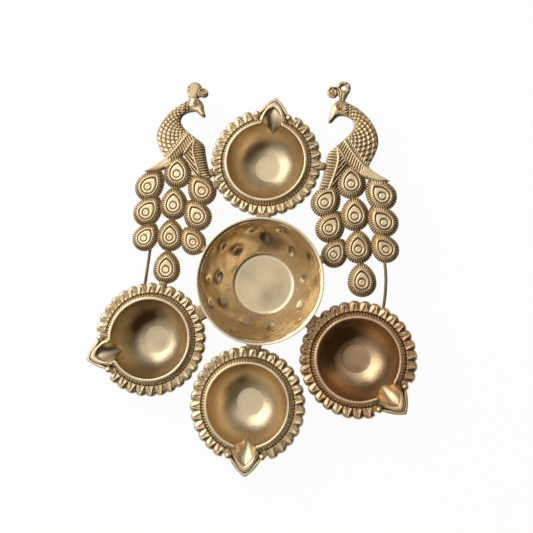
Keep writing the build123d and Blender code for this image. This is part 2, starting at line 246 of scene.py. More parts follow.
def spots_of(piece: Piece) -> np.ndarray:
    """Read the points of a piece's mesh.

    Args:
        piece: the piece.

    Returns:
        The points in millimetres.
    """
    spots = np.empty(3 * len(piece.data.vertices), np.float32)
    piece.data.vertices.foreach_get("co", spots)
    return spots.reshape(-1, 3) / MM


def darken(piece: Piece, painted_light: np.ndarray) -> None:
    """Add painted shade to a piece's patina, point by point.

    Args:
        piece: a piece with the point attribute patina_and_shade.
        painted_light: the painted shade added at each point.
    """
    patina_and_shade = piece.data.attributes["patina_and_shade"].data
    dark = np.empty(len(patina_and_shade), np.float32)
    patina_and_shade.foreach_get("value", dark)
    patina_and_shade.foreach_set("value", np.clip(dark + painted_light, 0.0, 1.0).astype(np.float32))


def wall_curve(foot: Point, mouth: Point, bulge: float) -> np.ndarray:
    """Return points along a turned wall's section, a circular arc that bulges outwards.

    Args:
        foot: radius and height where the wall leaves the floor.
        mouth: radius and height of its upper edge.
        bulge: how far the arc stands out from the straight line.

    Returns:
        Radius and height of points from foot to mouth.
    """
    start = np.array(foot)
    end = np.array(mouth)
    half = np.linalg.norm(end - start) / 2.0
    along = (end - start) / (2.0 * half)
    outward = np.array([along[1], -along[0]])
    radius = arc_radius(half, bulge)
    spread = math.asin(half / radius)
    angles = np.linspace(-spread, spread, 97)
    middle = (start + end) / 2.0 - outward * (radius - bulge)
    return middle + radius * (np.outer(np.sin(angles), along) + np.outer(np.cos(angles), outward))


def line_through(points: Line, steps: int = 6) -> np.ndarray:
    """Return a smooth line through points.

    Args:
        points: the points in order.
        steps: steps from point to point.

    Returns:
        Points along the line, both ends included.
    """
    spots = np.array(points, float)
    if len(spots) == 2:
        return spots
    padded = np.concatenate((2.0 * spots[:1] - spots[1:2], spots, 2.0 * spots[-1:] - spots[-2:-1]))
    line = []
    for before, start, end, after in zip(padded, padded[1:], padded[2:], padded[3:]):
        bend = 2.0 * before - 5.0 * start + 4.0 * end - after
        twist = 3.0 * start - before - 3.0 * end + after
        for share in np.arange(steps) / steps:
            line.append(start + 0.5 * ((end - before) * share + bend * share ** 2 + twist * share ** 3))
    return np.array(line + [spots[-1]])


def line_distance(spots: np.ndarray, line: np.ndarray) -> tuple[np.ndarray, np.ndarray]:
    """Measure points against an open line.

    Args:
        spots: the points.
        line: the line's points in order.

    Returns:
        Signed distance of each point, positive left of the line, and its place along the line.
    """
    best = np.full(len(spots), np.inf)
    signed = np.zeros(len(spots))
    along = np.zeros(len(spots))
    walked = 0.0
    for start, end in zip(line, line[1:]):
        step = end - start
        length = float(np.hypot(*step))
        if length < 1e-9:
            continue
        offset = spots - start
        share = np.clip(offset @ step / length ** 2, 0.0, 1.0)
        foot = start + share[:, None] * step
        away = np.hypot(*(spots - foot).T)
        closer = away < best
        best = np.where(closer, away, best)
        cross = step[0] * offset[:, 1] - step[1] * offset[:, 0]
        signed = np.where(closer, np.where(cross >= 0.0, away, -away), signed)
        along = np.where(closer, walked + share * length, along)
        walked += length
    return signed, along


@dataclass
class NodeBench:
    """Short calls that add and link the nodes of one tree."""

    tree: bpy.types.NodeTree

    def add(self, kind: str) -> bpy.types.Node:
        """Add a node of one kind."""
        return self.tree.nodes.new("ShaderNode" + kind)

    def feed(self, socket: Socket, value: Socket | float | tuple[float, ...]) -> None:
        """Link a socket to another one, or set it to a fixed value.

        Args:
            socket: the socket.
            value: another socket, or its value.
        """
        if isinstance(value, Socket):
            self.tree.links.new(value, socket)
        else:
            socket.default_value = value

    def attribute(self, name: str) -> Socket:
        """Read a point attribute of the mesh.

        Args:
            name: name of the attribute.

        Returns:
            The attribute's value.
        """
        node = self.add("Attribute")
        node.attribute_name = name
        return node.outputs["Fac"]

    def noise(self, vector: Socket, scale: float, detail: float) -> Socket:
        """Add a noise.

        Args:
            vector: what it is laid over.
            scale: its scale.
            detail: its detail.

        Returns:
            The noise, 0 to 1.
        """
        node = self.add("TexNoise")
        self.feed(node.inputs["Vector"], vector)
        self.feed(node.inputs["Scale"], scale)
        self.feed(node.inputs["Detail"], detail)
        return node.outputs["Fac"]

    def span(self, value: Socket, low: float, high: float) -> Socket:
        """Stretch a value smoothly.

        Args:
            value: the value.
            low: where it becomes 0.
            high: where it becomes 1.

        Returns:
            The stretched value, 0 to 1.
        """
        node = self.add("MapRange")
        node.interpolation_type = "SMOOTHSTEP"
        self.feed(node.inputs["Value"], value)
        self.feed(node.inputs["From Min"], low)
        self.feed(node.inputs["From Max"], high)
        return node.outputs["Result"]

    def reckon(self, operation: str, *values: Socket | float) -> Socket:
        """Add a math node.

        Args:
            operation: what it does.
            values: sockets and numbers that it takes, in order.

        Returns:
            Its result.
        """
        node = self.add("Math")
        node.operation = operation
        for socket, value in zip(node.inputs, values):
            self.feed(socket, value)
        return node.outputs["Value"]

    def blend(self, base: Socket, other: Socket, share: float) -> Socket:
        """Return a value with a fixed share of another one."""
        return self.reckon("MULTIPLY_ADD", other, share, self.reckon("MULTIPLY", base, 1.0 - share))

    def mix(self, share: Socket, first: Socket | tuple[float, ...],
            second: Socket | tuple[float, ...]) -> Socket:
        """Mix two colours.

        Args:
            share: share of the second.
            first: a socket or four numbers.
            second: a socket or four numbers.

        Returns:
            The mixed colour.
        """
        node = self.add("Mix")
        node.data_type = "RGBA"
        self.feed(node.inputs["Factor"], share)
        self.feed(node.inputs[6], first)
        self.feed(node.inputs[7], second)
        return node.outputs[2]


@dataclass(frozen=True)
class BrassFinish:
    """One brass surface: clean metal, the tarnish in its recesses and the shade painted with it, its grain
    and its turning marks.
    """

    name: str
    clean: Colour = (0.88, 0.69, 0.43)
    worn: Colour = (0.70, 0.52, 0.30)
    # tarnish_and_shade: colour of the tarnish, and of the shade painted in with it
    tarnish_and_shade: Colour = (0.095, 0.056, 0.024)
    gloss: tuple[float, float] = (0.22, 0.38)
    dulling: float = 0.25
    grain: float = 0.10
    grain_height: float = 0.4 * MM
    turned: float = 0.0
    brushed: float = 0.0
    # reads_patina_and_shade: whether the point attribute of patina and painted shade is read
    reads_patina_and_shade: bool = True
    unevenness: float = 0.5
    specks: float = 0.45
    cloud_scale: float = 60.0
    speck_scale: float = 700.0
    grit_scale: float = 2400.0
    lathe_scale: float = 0.9
    lathe_share: float = 0.2
    stroke_scale: float = 900.0
    stroke_turn: float = 0.5
    stroke_stretch: float = 0.25

    def material(self) -> bpy.types.Material:
        """Build the finish as a node material.

        Returns:
            The material, which reads Object coordinates and the point attributes.
        """
        material = bpy.data.materials.new(self.name)
        material.use_nodes = True
        bench = NodeBench(material.node_tree)
        shader = bench.tree.nodes["Principled BSDF"]
        place = bench.add("TexCoord").outputs["Object"]
        cloud = bench.noise(place, self.cloud_scale, 4.0)
        speck = bench.noise(place, self.speck_scale, 3.0)
        mottle = bench.span(cloud, 0.38, 0.68)
        height = bench.reckon("ADD", speck, bench.noise(place, self.grit_scale, 2.0))
        if self.turned > 0.0:
            lathe = self.lathe_marks(bench)
            mottle = bench.blend(mottle, bench.span(lathe, 0.35, 0.65), self.lathe_share)
            height = bench.reckon("MULTIPLY_ADD", lathe, self.turned, height)
        if self.brushed > 0.0:
            mottle = bench.blend(mottle, self.strokes(bench, place), self.brushed)
        dark = self.darkness(bench, cloud, speck)
        metal = bench.mix(mottle, (*self.worn, 1.0), (*self.clean, 1.0))
        rough = bench.reckon("MULTIPLY_ADD", speck, self.gloss[1] - self.gloss[0], self.gloss[0])
        relief = bench.add("Bump")
        bench.feed(relief.inputs["Strength"], self.grain)
        bench.feed(relief.inputs["Distance"], self.grain_height)
        bench.feed(relief.inputs["Height"], height)
        bench.feed(shader.inputs["Metallic"], 1.0)
        bench.feed(shader.inputs["Base Color"], bench.mix(dark, metal, (*self.tarnish_and_shade, 1.0)))
        bench.feed(shader.inputs["Roughness"], bench.reckon("MULTIPLY_ADD", dark, self.dulling, rough))
        bench.feed(shader.inputs["Normal"], relief.outputs["Normal"])
        return material

    def lathe_marks(self, bench: NodeBench) -> Socket:
        """Add the lathe's marks.

        Args:
            bench: where nodes are added.

        Returns:
            Rings of noise that follow the radius at which a point was turned.
        """
        radius = bench.add("CombineXYZ")
        bench.feed(radius.inputs["X"], bench.attribute("turning"))
        return bench.noise(radius.outputs["Vector"], self.lathe_scale, 4.0)

    def strokes(self, bench: NodeBench, place: Socket) -> Socket:
        """Add the strokes of a brush.

        Args:
            bench: where nodes are added.
            place: Object coordinates.

        Returns:
            A noise drawn out in one direction.
        """
        mapping = bench.add("Mapping")
        bench.feed(mapping.inputs["Vector"], place)
        bench.feed(mapping.inputs["Rotation"], (0.0, 0.0, self.stroke_turn))
        bench.feed(mapping.inputs["Scale"], (self.stroke_stretch, 1.0, 1.0))
        return bench.span(bench.noise(mapping.outputs["Vector"], self.stroke_scale, 3.0), 0.3, 0.7)

    def darkness(self, bench: NodeBench, cloud: Socket, speck: Socket) -> Socket:
        """Work out the tarnish and painted shade: specks all over and, where a piece has it, its patina and
        painted shade.

        Args:
            bench: where nodes are added.
            cloud: the coarse noise.
            speck: the fine noise.

        Returns:
            How dark the tarnish and the painted shade are, 0 to 1.
        """
        specks = bench.reckon("MULTIPLY", bench.span(speck, 0.60, 0.76), self.specks)
        if not self.reads_patina_and_shade:
            return specks
        uneven = bench.reckon("MULTIPLY_ADD", cloud, self.unevenness, -0.5 * self.unevenness)
        stained = bench.reckon("ADD", bench.attribute("patina_and_shade"), uneven)
        return bench.reckon("MAXIMUM", bench.span(stained, 0.10, 0.78), specks)


def dress(piece: Piece, material: bpy.types.Material, node: str) -> None:
    """Give a piece its finish, hang it on the body, hide the node that it stands for and log which one that
    is.

    Args:
        piece: the piece.
        material: its finish.
        node: the node that it replaces.
    """
    piece.data.materials.clear()
    piece.data.materials.append(material)
    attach(piece, BODY)
    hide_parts(node)
    LOG.info("%s stands for %s", piece.name, node)


@dataclass
class CentreBowl:
    """The spun and hammered bowl in the middle."""

    rim_radius: float = 41.2
    height: float = 30.2
    wall: float = 1.4
    bulge: float = 2.6
    floor_radius: float = 20.6
    floor_dish: float = 0.2
    # The rounded corner round the floor: where it starts inside the edge, how far it runs and rises
    corner_start: float = 2.0
    corner_run: float = 3.2
    corner_rise: float = 1.4
    lip_width: float = 2.6
    lip_rise: float = 1.2
    lip_under: float = 1.9
    # Rings of the lip: how far out from the wall or in from the rim, how far down, and patina
    lip_bed: tuple[Triple, ...] = ((0.25, 1.05, 0.5), (0.6, 0.75, 0.05), (1.4, 0.25, 0.0))
    lip_edge: tuple[Triple, ...] = (
        (0.45, 0.0, 0.0), (0.12, 0.12, 0.05), (0.0, 0.45, 0.2), (0.1, 0.8, 0.3), (0.45, 1.0, 0.4))
    floor_patina: float = 0.29
    corner_patina: float = 0.2
    wall_patina: float = 0.16
    wall_fade: float = 0.1
    under_patina: float = 0.35
    foot_patina: float = 0.4
    stations: int = 192
    # Share of the height, number and first bearing of the dents in each row
    dent_rows: tuple[tuple[float, int, float], ...] = ((0.36, 9, 10.0), (0.70, 10, 28.0))
    dent_radius: float = 5.4
    dent_depth: float = 1.45
    # dent_painted_shade: how strongly shade and highlight are painted into each dent
    dent_painted_shade: float = 0.5
    dent_seed: int = 5
    # Waves round the bowl, their drift with height and their depth, as a planishing hammer leaves them
    planishing: tuple[tuple[int, float, float], ...] = (
        (7, 0.35, 0.12), (11, -0.5, 0.09), (17, 0.8, 0.05))
    # Bearing, spread, height, reach and depth of the painted reflections on the wall, darker patches
    wall_painted_reflections: tuple[tuple[float, float, float, float, float], ...] = (
        (78.0, 26.0, 10.0, 7.0, 0.42), (150.0, 34.0, 18.0, 9.0, 0.26), (30.0, 25.0, 20.0, 7.0, 0.22),
        (205.0, 22.0, 12.0, 8.0, 0.2))
    # Place, reach and depth of the painted reflections on the floor, darker patches and lighter ones where
    # the depth is negative
    floor_painted_reflections: tuple[tuple[float, float, float, float], ...] = (
        (6.0, -7.0, 9.0, 0.05), (10.0, -1.0, 6.0, 0.05), (1.0, -11.0, 6.0, 0.06),
        (-9.0, 9.0, 8.0, 0.05), (1.0, 6.0, 4.5, -0.06), (-7.0, -6.0, 6.0, -0.05), (12.0, 8.0, 4.0, 0.06))

    def section(self) -> np.ndarray:
        """Work out the bowl's section, from the floor over the lip to the foot.

        Returns:
            Radius, height, patina and share of the dents of every ring.
        """
        root = self.rim_radius - self.lip_width
        corner = self.floor_radius - self.corner_start
        foot = (corner + self.corner_run + 0.1, self.wall + self.corner_rise + 0.1)
        inside = wall_curve(foot, (root, self.height - self.lip_rise), self.bulge)
        outside = wall_curve((self.floor_radius + self.wall, 0.0),
                             (root + self.wall, self.height - self.lip_under), self.bulge)
        rows = []
        for radius in np.linspace(1.0, corner - 0.4, 12):
            dish = self.floor_dish * (1.0 - (radius / self.floor_radius) ** 2)
            rows.append((radius, self.wall - dish, self.floor_patina, 0.0))
        for share in np.linspace(0.0, 1.0, 8):
            level = self.wall + self.corner_rise * share ** 2
            rows.append((corner + self.corner_run * share, level, self.corner_patina, 0.0))
        rows += [(radius, level, self.wall_patina - self.wall_fade * level / self.height, 1.0)
                 for radius, level in inside[::2]]
        rows += [(root + out, self.height - down, dark, 0.0) for out, down, dark in self.lip_bed]
        rows += [(self.rim_radius - back, self.height - down, dark, 0.0)
                 for back, down, dark in self.lip_edge]
        rows += [(radius, level, self.under_patina, 0.5) for radius, level in outside[::-4]]
        rows.append((self.floor_radius + 0.6, 0.0, self.foot_patina, 0.0))
        return np.array(rows)

    def dents(self) -> np.ndarray:
        """Spread the hammer's dents over the wall, none quite like another.

        Returns:
            Angle, height, radius, depth, stretch and tilt of every dent.
        """
        chance = np.random.default_rng(self.dent_seed)
        rows = []
        for level, count, first in self.dent_rows:
            for turn in range(count):
                angle = math.radians(first + 360.0 * turn / count) + chance.normal(0.0, 0.07)
                height = self.height * (level + chance.normal(0.0, 0.035))
                rows.append((angle, height, self.dent_radius * chance.uniform(0.75, 1.1),
                             self.dent_depth * chance.uniform(0.6, 1.25), chance.uniform(1.0, 1.45),
                             chance.uniform(0.0, math.pi)))
        return np.array(rows)

    def painted_reflections(self, angles: np.ndarray, radius: np.ndarray, level: np.ndarray,
               wall: np.ndarray) -> np.ndarray:
        """Work out the painted reflections: darker patches on the wall, and darker and lighter ones on the
        floor.

        Args:
            angles: angle of every station in radians.
            radius: radius of every point.
            level: height of every point.
            wall: how far each point belongs to the wall.

        Returns:
            Painted light to be added to the patina at every point.
        """
        painted_light = np.zeros_like(radius)
        for bearing, spread, height, reach, depth in self.wall_painted_reflections:
            turn = swing_from(math.radians(bearing), angles)
            painted_light += depth * wall * bump(0.0, math.radians(spread), turn) * bump(height, reach, level)
        for x, y, reach, depth in self.floor_painted_reflections:
            away = np.hypot(radius * np.cos(angles) - x, radius * np.sin(angles) - y)
            painted_light += depth * bump(0.0, reach, away) * (radius < self.floor_radius)
        return painted_light

    def build(self) -> Piece:
        """Loft the section round the axis and press the dents into the wall.

        Returns:
            The bowl in its place.
        """
        angles = np.linspace(0.0, 2.0 * math.pi, self.stations, endpoint=False)
        radius, level, patina_and_shade, wall = (
            np.repeat(column[:, None], self.stations, axis=1) for column in self.section().T)
        push = np.zeros_like(radius)
        for angle, height, size, depth, stretch, tilt in self.dents():
            around = radius * swing_from(angle, angles)
            rise = (level - height) * 1.25
            along = (around * math.cos(tilt) + rise * math.sin(tilt)) / stretch
            away = np.hypot(along, rise * math.cos(tilt) - around * math.sin(tilt)) / size
            pit = np.clip(1.0 - away ** 2, 0.0, 1.0) ** 2
            push += depth * pit
            # Painted shade and highlight: each dent is darker on the side nearer the light, whose slope faces
            # away from it, and lighter on the other side
            lee = (rise * math.cos(angle - LEE) - around * math.sin(angle - LEE)) / size
            patina_and_shade += self.dent_painted_shade * wall * pit * np.clip(0.25 - 1.6 * lee, -0.5, 1.0)
        for count, drift, swell in self.planishing:
            push += swell * np.sin(count * angles + drift * level)
        # Painted reflections: darker and lighter patches on the wall and the floor
        patina_and_shade += self.painted_reflections(angles, radius, level, wall)
        push *= wall * ramp(self.wall + 0.4, self.wall + 4.5, level)
        radius = radius + push * 0.8
        rings = np.stack((radius * np.cos(angles), radius * np.sin(angles), level - push * 0.6), axis=2)
        piece = loft("hammered_bowl", rings, patina_and_shade)
        smooth_shade(piece, 50.0)
        return piece

    def dress(self, piece: Piece) -> None:
        """Finish the bowl in turned brass.

        Args:
            piece: the bowl.
        """
        finish = BrassFinish("turned_bowl_brass", grain=0.08, turned=2.5, brushed=0.2, gloss=(0.21, 0.33),
                             clean=(0.93, 0.76, 0.50), worn=(0.73, 0.56, 0.345))
        dress(piece, finish.material(), "centre_bowl")


@dataclass
class DiyaPlan:
    """What the rings of a diya share, one value per station round its axis."""

    angles: np.ndarray      # in degrees, the spout at 0
    spread: np.ndarray      # away from the spout, in degrees
    swing: np.ndarray       # away from the middle of the petal, in radians
    spout: np.ndarray       # 1 at the wick spout
    chevron: np.ndarray     # 1 on the pointed plate
    petal: np.ndarray       # 1 on the petals
    edge: np.ndarray        # radius of the lip's inner edge
    lip: np.ndarray         # radius of the lip's outer edge
    band: np.ndarray        # radius of the milled band's foot
    outer: np.ndarray       # radius of the petals and of the plate
    crown: np.ndarray       # height of the lip


@dataclass
class Diyas:
    """The pressed oil lamp with its petals and wick spout, modelled once and set down four times."""

    mouth_radius: float = 25.6
    height: float = 22.4
    wall: float = 1.2
    bulge: float = 4.0
    floor_radius: float = 9.9
    floor_dish: float = 0.15
    floor_patina: float = 0.17
    basin_patina: float = 0.15
    basin_fade: float = 0.09
    rim_patina: float = 0.3
    groove_patina: float = 0.85
    plate_patina: float = 0.35
    under_patina: float = 0.45
    foot_patina: float = 0.4
    # The rounded corner round the floor: where it starts inside the edge, how far it runs and rises
    corner_start: float = 2.0
    corner_run: float = 2.2
    corner_rise: float = 0.5
    lip_width: float = 2.1
    lip_tip_width: float = 3.9
    lip_drop: float = 0.55
    band_foot: float = 30.3
    band_step: float = 0.75
    teeth_per_petal: float = 3.0
    tooth_height: float = 0.75
    tooth_patina: float = 0.56
    flange_top: float = 18.8
    petal_count: int = 28
    petal_samples: int = 18
    petal_tip: float = 37.5
    petal_round: float = 4.4
    petal_half_width: float = 3.45
    arch_half_width: float = 1.35
    arch_end: float = 35.2
    spout_half: float = 25.0
    spout_samples: int = 90
    spout_dip: float = 0.5
    spout_keel: float = 13.2
    trough_spread: float = 16.0
    trough_radius: float = 6.4
    trough_centre: float = 27.4
    trough_tip: float = 37.4
    trough_floor: float = 10.5
    # Depth of the trough's bed at its tip, and how it grows inwards
    trough_drop: Triple = (0.9, 0.15, 0.0325)
    chevron_tip: float = 45.6
    chevron_shoulder: float = 35.6
    chevron_half_width: float = 9.4
    chevron_rib: float = 2.4
    chevron_bulge: float = 0.9
    chevron_ridge: float = 1.6
    bead_radius: float = 2.25
    bead_centre: Point = (31.8, 10.9)
    bead_height: float = 19.9
    # Bearings of the basin's painted shade and of its darker patch, and the patch's depth
    shaded_side: float = 138.0
    dark_patch_side: float = 128.0
    dark_patch_depth: float = 0.24
    # Node of the lamp given a darker copy of the brass
    darker_diya: str = "right_diya"
    # Node, place of the axis, bearing of the spout and depth of the painted shade in the basin
    places: tuple[tuple[str, float, float, float, float], ...] = (
        ("top_diya", 3.12, 81.14, 81.0, 0.20),
        ("left_diya", -73.67, -37.22, 197.5, 0.46),
        ("bottom_diya", -8.87, -79.10, 268.0, 0.20),
        ("right_diya", 61.95, -49.99, 311.0, 0.64),
    )

    @property
    def pitch(self) -> float:
        """Angle from petal to petal in degrees."""
        return (360.0 - 2.0 * self.spout_half) / self.petal_count

    @property
    def trough_reach(self) -> float:
        """Length of the spout's drawn-out point."""
        return self.trough_tip - self.trough_centre

    @property
    def trough_arch(self) -> float:
        """Radius of the two arcs that meet in the spout's point."""
        return arc_radius(self.trough_reach, self.trough_radius)

    def angles(self) -> np.ndarray:
        """Space the stations round the axis, closer at the spout.

        Returns:
            Their angles in degrees, the spout at 0.
        """
        spout = np.linspace(-self.spout_half, self.spout_half, self.spout_samples, endpoint=False)
        petals = np.linspace(self.spout_half, 360.0 - self.spout_half,
                             self.petal_count * self.petal_samples, endpoint=False)
        return np.concatenate((spout, petals))

    def mouth_edge(self, spread: np.ndarray) -> np.ndarray:
        """Work out the lip's inner edge: the mouth's circle, drawn out to a point at the spout.

        Args:
            spread: angle of every station from the spout, in degrees.

        Returns:
            Its radius at every station.
        """
        arch = self.trough_arch
        turn = np.linspace(math.asin(self.trough_reach / arch), 0.0, 24)
        side = np.stack((self.trough_centre + arch * np.sin(turn),
                         self.trough_radius - arch + arch * np.cos(turn)))
        turn = np.linspace(0.0, math.asin(self.trough_radius / self.trough_centre), 6)[1:]
        back = np.stack((self.trough_centre - self.trough_radius * np.sin(turn),
                         self.trough_radius * np.cos(turn)))
        x, y = np.concatenate((side, back), axis=1)
        bearing = np.append(np.degrees(np.arctan2(y, x)), (self.trough_spread, 180.0))
        return np.interp(spread, bearing, np.append(np.hypot(x, y), (self.mouth_radius,) * 2))

    def trough(self, spread: np.ndarray, edge: np.ndarray) -> tuple[np.ndarray, np.ndarray]:
        """Work out the spout's hollow, a leaf that falls from the tip into the basin.

        Args:
            spread: angle of every station from the spout, in degrees.
            edge: radius of the lip's inner edge at every station.

        Returns:
            Radius and height of points along the hollow, outwards, for every station.
        """
        start = 20.0
        ray = start + np.linspace(0.0, 1.0, 60) * (edge[:, None] - start)
        along = ray * np.cos(np.radians(spread))[:, None]
        across = ray * np.sin(np.radians(spread))[:, None]
        arch = self.trough_arch
        out = np.clip(along - self.trough_centre, 0.0, self.trough_reach)
        half = np.clip(self.trough_radius - arch + np.sqrt(arch ** 2 - out ** 2), 0.05, None)
        back = np.clip(self.trough_tip - along, 0.0, None)
        fall = self.trough_drop[0] + self.trough_drop[1] * back + self.trough_drop[2] * back ** 2
        bed = self.height - self.lip_drop - fall * (1.0 - np.clip(across / half, 0.0, 1.0) ** 2)
        return ray, np.maximum.accumulate(bed, axis=1)

    def plan(self) -> DiyaPlan:
        """Work out the lamp's outlines in plan.

        Returns:
            The outlines and what else the rings share.
        """
        angles = self.angles()
        spread = np.abs((angles + 180.0) % 360.0 - 180.0)
        slope = (self.chevron_tip - self.chevron_shoulder) / self.chevron_half_width
        blunt = np.radians(np.sqrt(spread ** 2 + 0.8))
        lean = np.cos(blunt) + slope * np.sin(blunt)
        corner = math.degrees(math.atan2(self.chevron_half_width, self.chevron_shoulder))
        edge = self.mouth_edge(spread)
        widening = (self.lip_tip_width - self.lip_width) * (1.0 - ramp(2.0, 15.0, spread))
        lip = edge + self.lip_width + widening
        rib_back = self.chevron_rib * math.hypot(1.0, slope)
        band = np.where(spread < corner, (self.chevron_tip - rib_back) / lean,
                        np.interp(spread, (corner, 18.0, 21.0), (34.0, 31.2, self.band_foot)))
        swing = np.radians((((angles - self.spout_half) / self.pitch) % 1.0 - 0.5) * self.pitch)
        hub = self.petal_tip - self.petal_round
        rounding = np.sqrt(np.clip(self.petal_round ** 2 - (hub * np.sin(swing)) ** 2, 0.0, None))
        shoulder = math.hypot(self.chevron_half_width, self.chevron_shoulder)
        bulge = self.chevron_bulge * np.sin(np.pi * np.clip(spread / corner, 0.0, 1.0))
        flank = np.interp(spread, (corner, 17.5, 21.5, self.spout_half), (shoulder, 35.4, 34.9, 34.0))
        plate = np.where(spread < corner, self.chevron_tip / lean + bulge, flank)
        spout = 1.0 - ramp(12.0, self.trough_spread, spread)
        return DiyaPlan(
            angles=angles, spread=spread, swing=swing, spout=spout,
            chevron=1.0 - ramp(corner, corner + 2.0, spread),
            petal=ramp(self.spout_half - 0.2, self.spout_half + 0.1, spread),
            edge=edge, lip=lip, band=np.maximum(band, lip + 0.7),
            outer=np.where(spread > self.spout_half - 0.01, hub * np.cos(swing) + rounding, plate),
            crown=self.height - self.spout_dip * spout)

    def floor_rings(self) -> list[Ring]:
        """Work out the dished floor and the corner round it.

        Returns:
            Their rings, outwards.
        """
        corner = self.floor_radius - self.corner_start
        rings: list[Ring] = []
        for radius in np.linspace(0.8, corner - 0.4, 6):
            dish = self.floor_dish * (1.0 - (radius / self.floor_radius) ** 2)
            rings.append((radius, self.wall - dish, self.floor_patina))
        for share in np.linspace(0.0, 1.0, 6):
            level = self.wall + self.corner_rise * share ** 2
            rings.append((corner + self.corner_run * share, level, self.floor_patina))
        return rings

    def basin_rings(self, plan: DiyaPlan) -> list[Ring]:
        """Work out the basin's wall, drawn out into the spout's hollow.

        Args:
            plan: the lamp's outlines in plan.

        Returns:
            Its rings, upwards.
        """
        top = self.height - self.lip_drop
        foot = (self.floor_radius - self.corner_start + self.corner_run, self.wall + self.corner_rise)
        inside = wall_curve(foot, (self.mouth_radius, top), self.bulge)
        ray, bed = self.trough(plan.spread, plan.edge)
        around = np.radians(plan.angles)
        rings: list[Ring] = []
        for level in np.concatenate((np.linspace(2.2, 15.0, 14), np.linspace(15.4, top, 16))):
            plain = np.interp(level, inside[:, 1], inside[:, 0])
            drawn = np.array([np.interp(level, *line, left=0.0) for line in zip(bed, ray)])
            drawn = np.where(plan.spread < self.trough_spread, np.maximum(drawn, plain), plain)
            wave = 0.04 * np.sin(5.0 * around + 0.4 * level) + 0.03 * np.sin(9.0 * around - 0.7 * level)
            dip = np.clip((level - self.trough_floor) / (top - self.trough_floor), 0.0, 1.0)
            rim = ramp(self.height - 2.2, self.height - 0.8, level)
            rings.append((drawn + wave, level - self.spout_dip * plan.spout * dip,
                          self.basin_patina - self.basin_fade * level / self.height + self.rim_patina * rim))
        return rings

    def lip_rings(self, plan: DiyaPlan) -> list[Ring]:
        """Work out the rounded lip.

        Args:
            plan: the lamp's outlines in plan.

        Returns:
            Its rings, outwards.
        """
        rings: list[Ring] = []
        for share in np.linspace(0.0, 1.0, 9)[1:]:
            arch = math.sqrt(max(0.0, 1.0 - (2.0 * share - 1.0) ** 2))
            level = plan.crown - self.lip_drop * (1.0 - arch)
            rings.append((plan.edge + share * (plan.lip - plan.edge), level, 0.0))
        return rings

    def band_rings(self, plan: DiyaPlan) -> list[Ring]:
        """Work out the milled band and the groove inside the pointed plate.

        Args:
            plan: the lamp's outlines in plan.

        Returns:
            Their rings, outwards.
        """
        beat = (plan.angles - self.spout_half) / self.pitch * self.teeth_per_petal
        teeth = np.clip(0.55 - 0.75 * np.cos(2.0 * math.pi * beat), 0.0, 1.0) * ramp(15.0, 17.0, plan.spread)
        drop = plan.crown - self.band_step - self.flange_top
        rings: list[Ring] = []
        for share in np.linspace(0.0, 1.0, 10)[1:]:
            fall = (1.0 - share) * (1.0 - plan.chevron) + (1.0 - share ** 3) * plan.chevron
            fade = math.sin(math.pi * min(1.0, share * 1.04)) ** 0.5 if share < 0.96 else 0.0
            milled = self.tooth_patina * (1.0 - teeth * fade)
            groove = self.groove_patina * max(0.0, (share - 0.6) / 0.4)
            rings.append((plan.lip + share * (plan.band - plan.lip),
                          self.flange_top + drop * fall + self.tooth_height * teeth * fade,
                          milled * (1.0 - plan.chevron) + groove * plan.chevron))
        return rings

    def petal_face(self, radius: np.ndarray, across: np.ndarray) -> tuple[np.ndarray, np.ndarray]:
        """Work out the face of a petal: a dome with a pointed arch, hollow inside, and a tongue.

        Args:
            radius: radius of the points.
            across: how far they lie from the petal's middle.

        Returns:
            Height above the flange and patina of the points.
        """
        reach = np.hypot(across, np.clip(radius - self.petal_tip + self.petal_half_width, 0.0, None))
        dome = np.sqrt(np.clip(1.0 - (reach / self.petal_half_width) ** 2, 0.0, None))
        taper = np.clip((self.arch_end - radius) / (self.arch_end - self.band_foot), 0.0, 1.0)
        beyond = np.clip(radius - self.arch_end, 0.0, None)
        hollow = np.hypot(across, beyond) - self.arch_half_width * taper
        arch = bump(0.65, 0.5, hollow)
        pit = (1.0 - ramp(-0.45, 0.25, hollow)) * ramp(0.0, 0.2, taper)
        tongue = bump(0.0, 0.45, across) * (1.0 - ramp(self.band_foot + 0.5, self.band_foot + 1.3, radius))
        high = 0.2 + 1.5 * dome + 0.55 * arch - (0.6 - 0.4 * tongue) * pit
        dark = 0.38 - 0.38 * ramp(0.05, 0.45, dome) + (0.24 - 0.2 * tongue) * pit - 0.4 * arch
        return high, dark + 0.08 * ramp(self.petal_tip - 1.9, self.petal_tip - 0.2, radius)

    def petal_rings(self, plan: DiyaPlan) -> list[Ring]:
        """Work out the petals and the pointed plate's raised border.

        Args:
            plan: the lamp's outlines in plan.

        Returns:
            Their rings, outwards.
        """
        rings: list[Ring] = []
        for share in np.linspace(0.0, 1.0, 25)[1:]:
            radius = plan.band + share * (plan.outer - plan.band)
            high, dark = self.petal_face(radius, radius * np.sin(plan.swing))
            ridge = ramp(0.0, 0.22, share) * math.sqrt(1.0 - max(0.0, (share - 0.55) / 0.45) ** 2)
            ridge = ridge * plan.chevron
            high = high * ramp(0.0, 0.06, share) * plan.petal + self.chevron_ridge * ridge
            dark = dark * plan.petal + self.plate_patina * (1.0 - plan.petal) * (1.0 - ridge)
            rings.append((radius, self.flange_top - 0.3 + np.clip(high, -0.5, None), np.clip(dark, 0.0, 1.0)))
        return rings

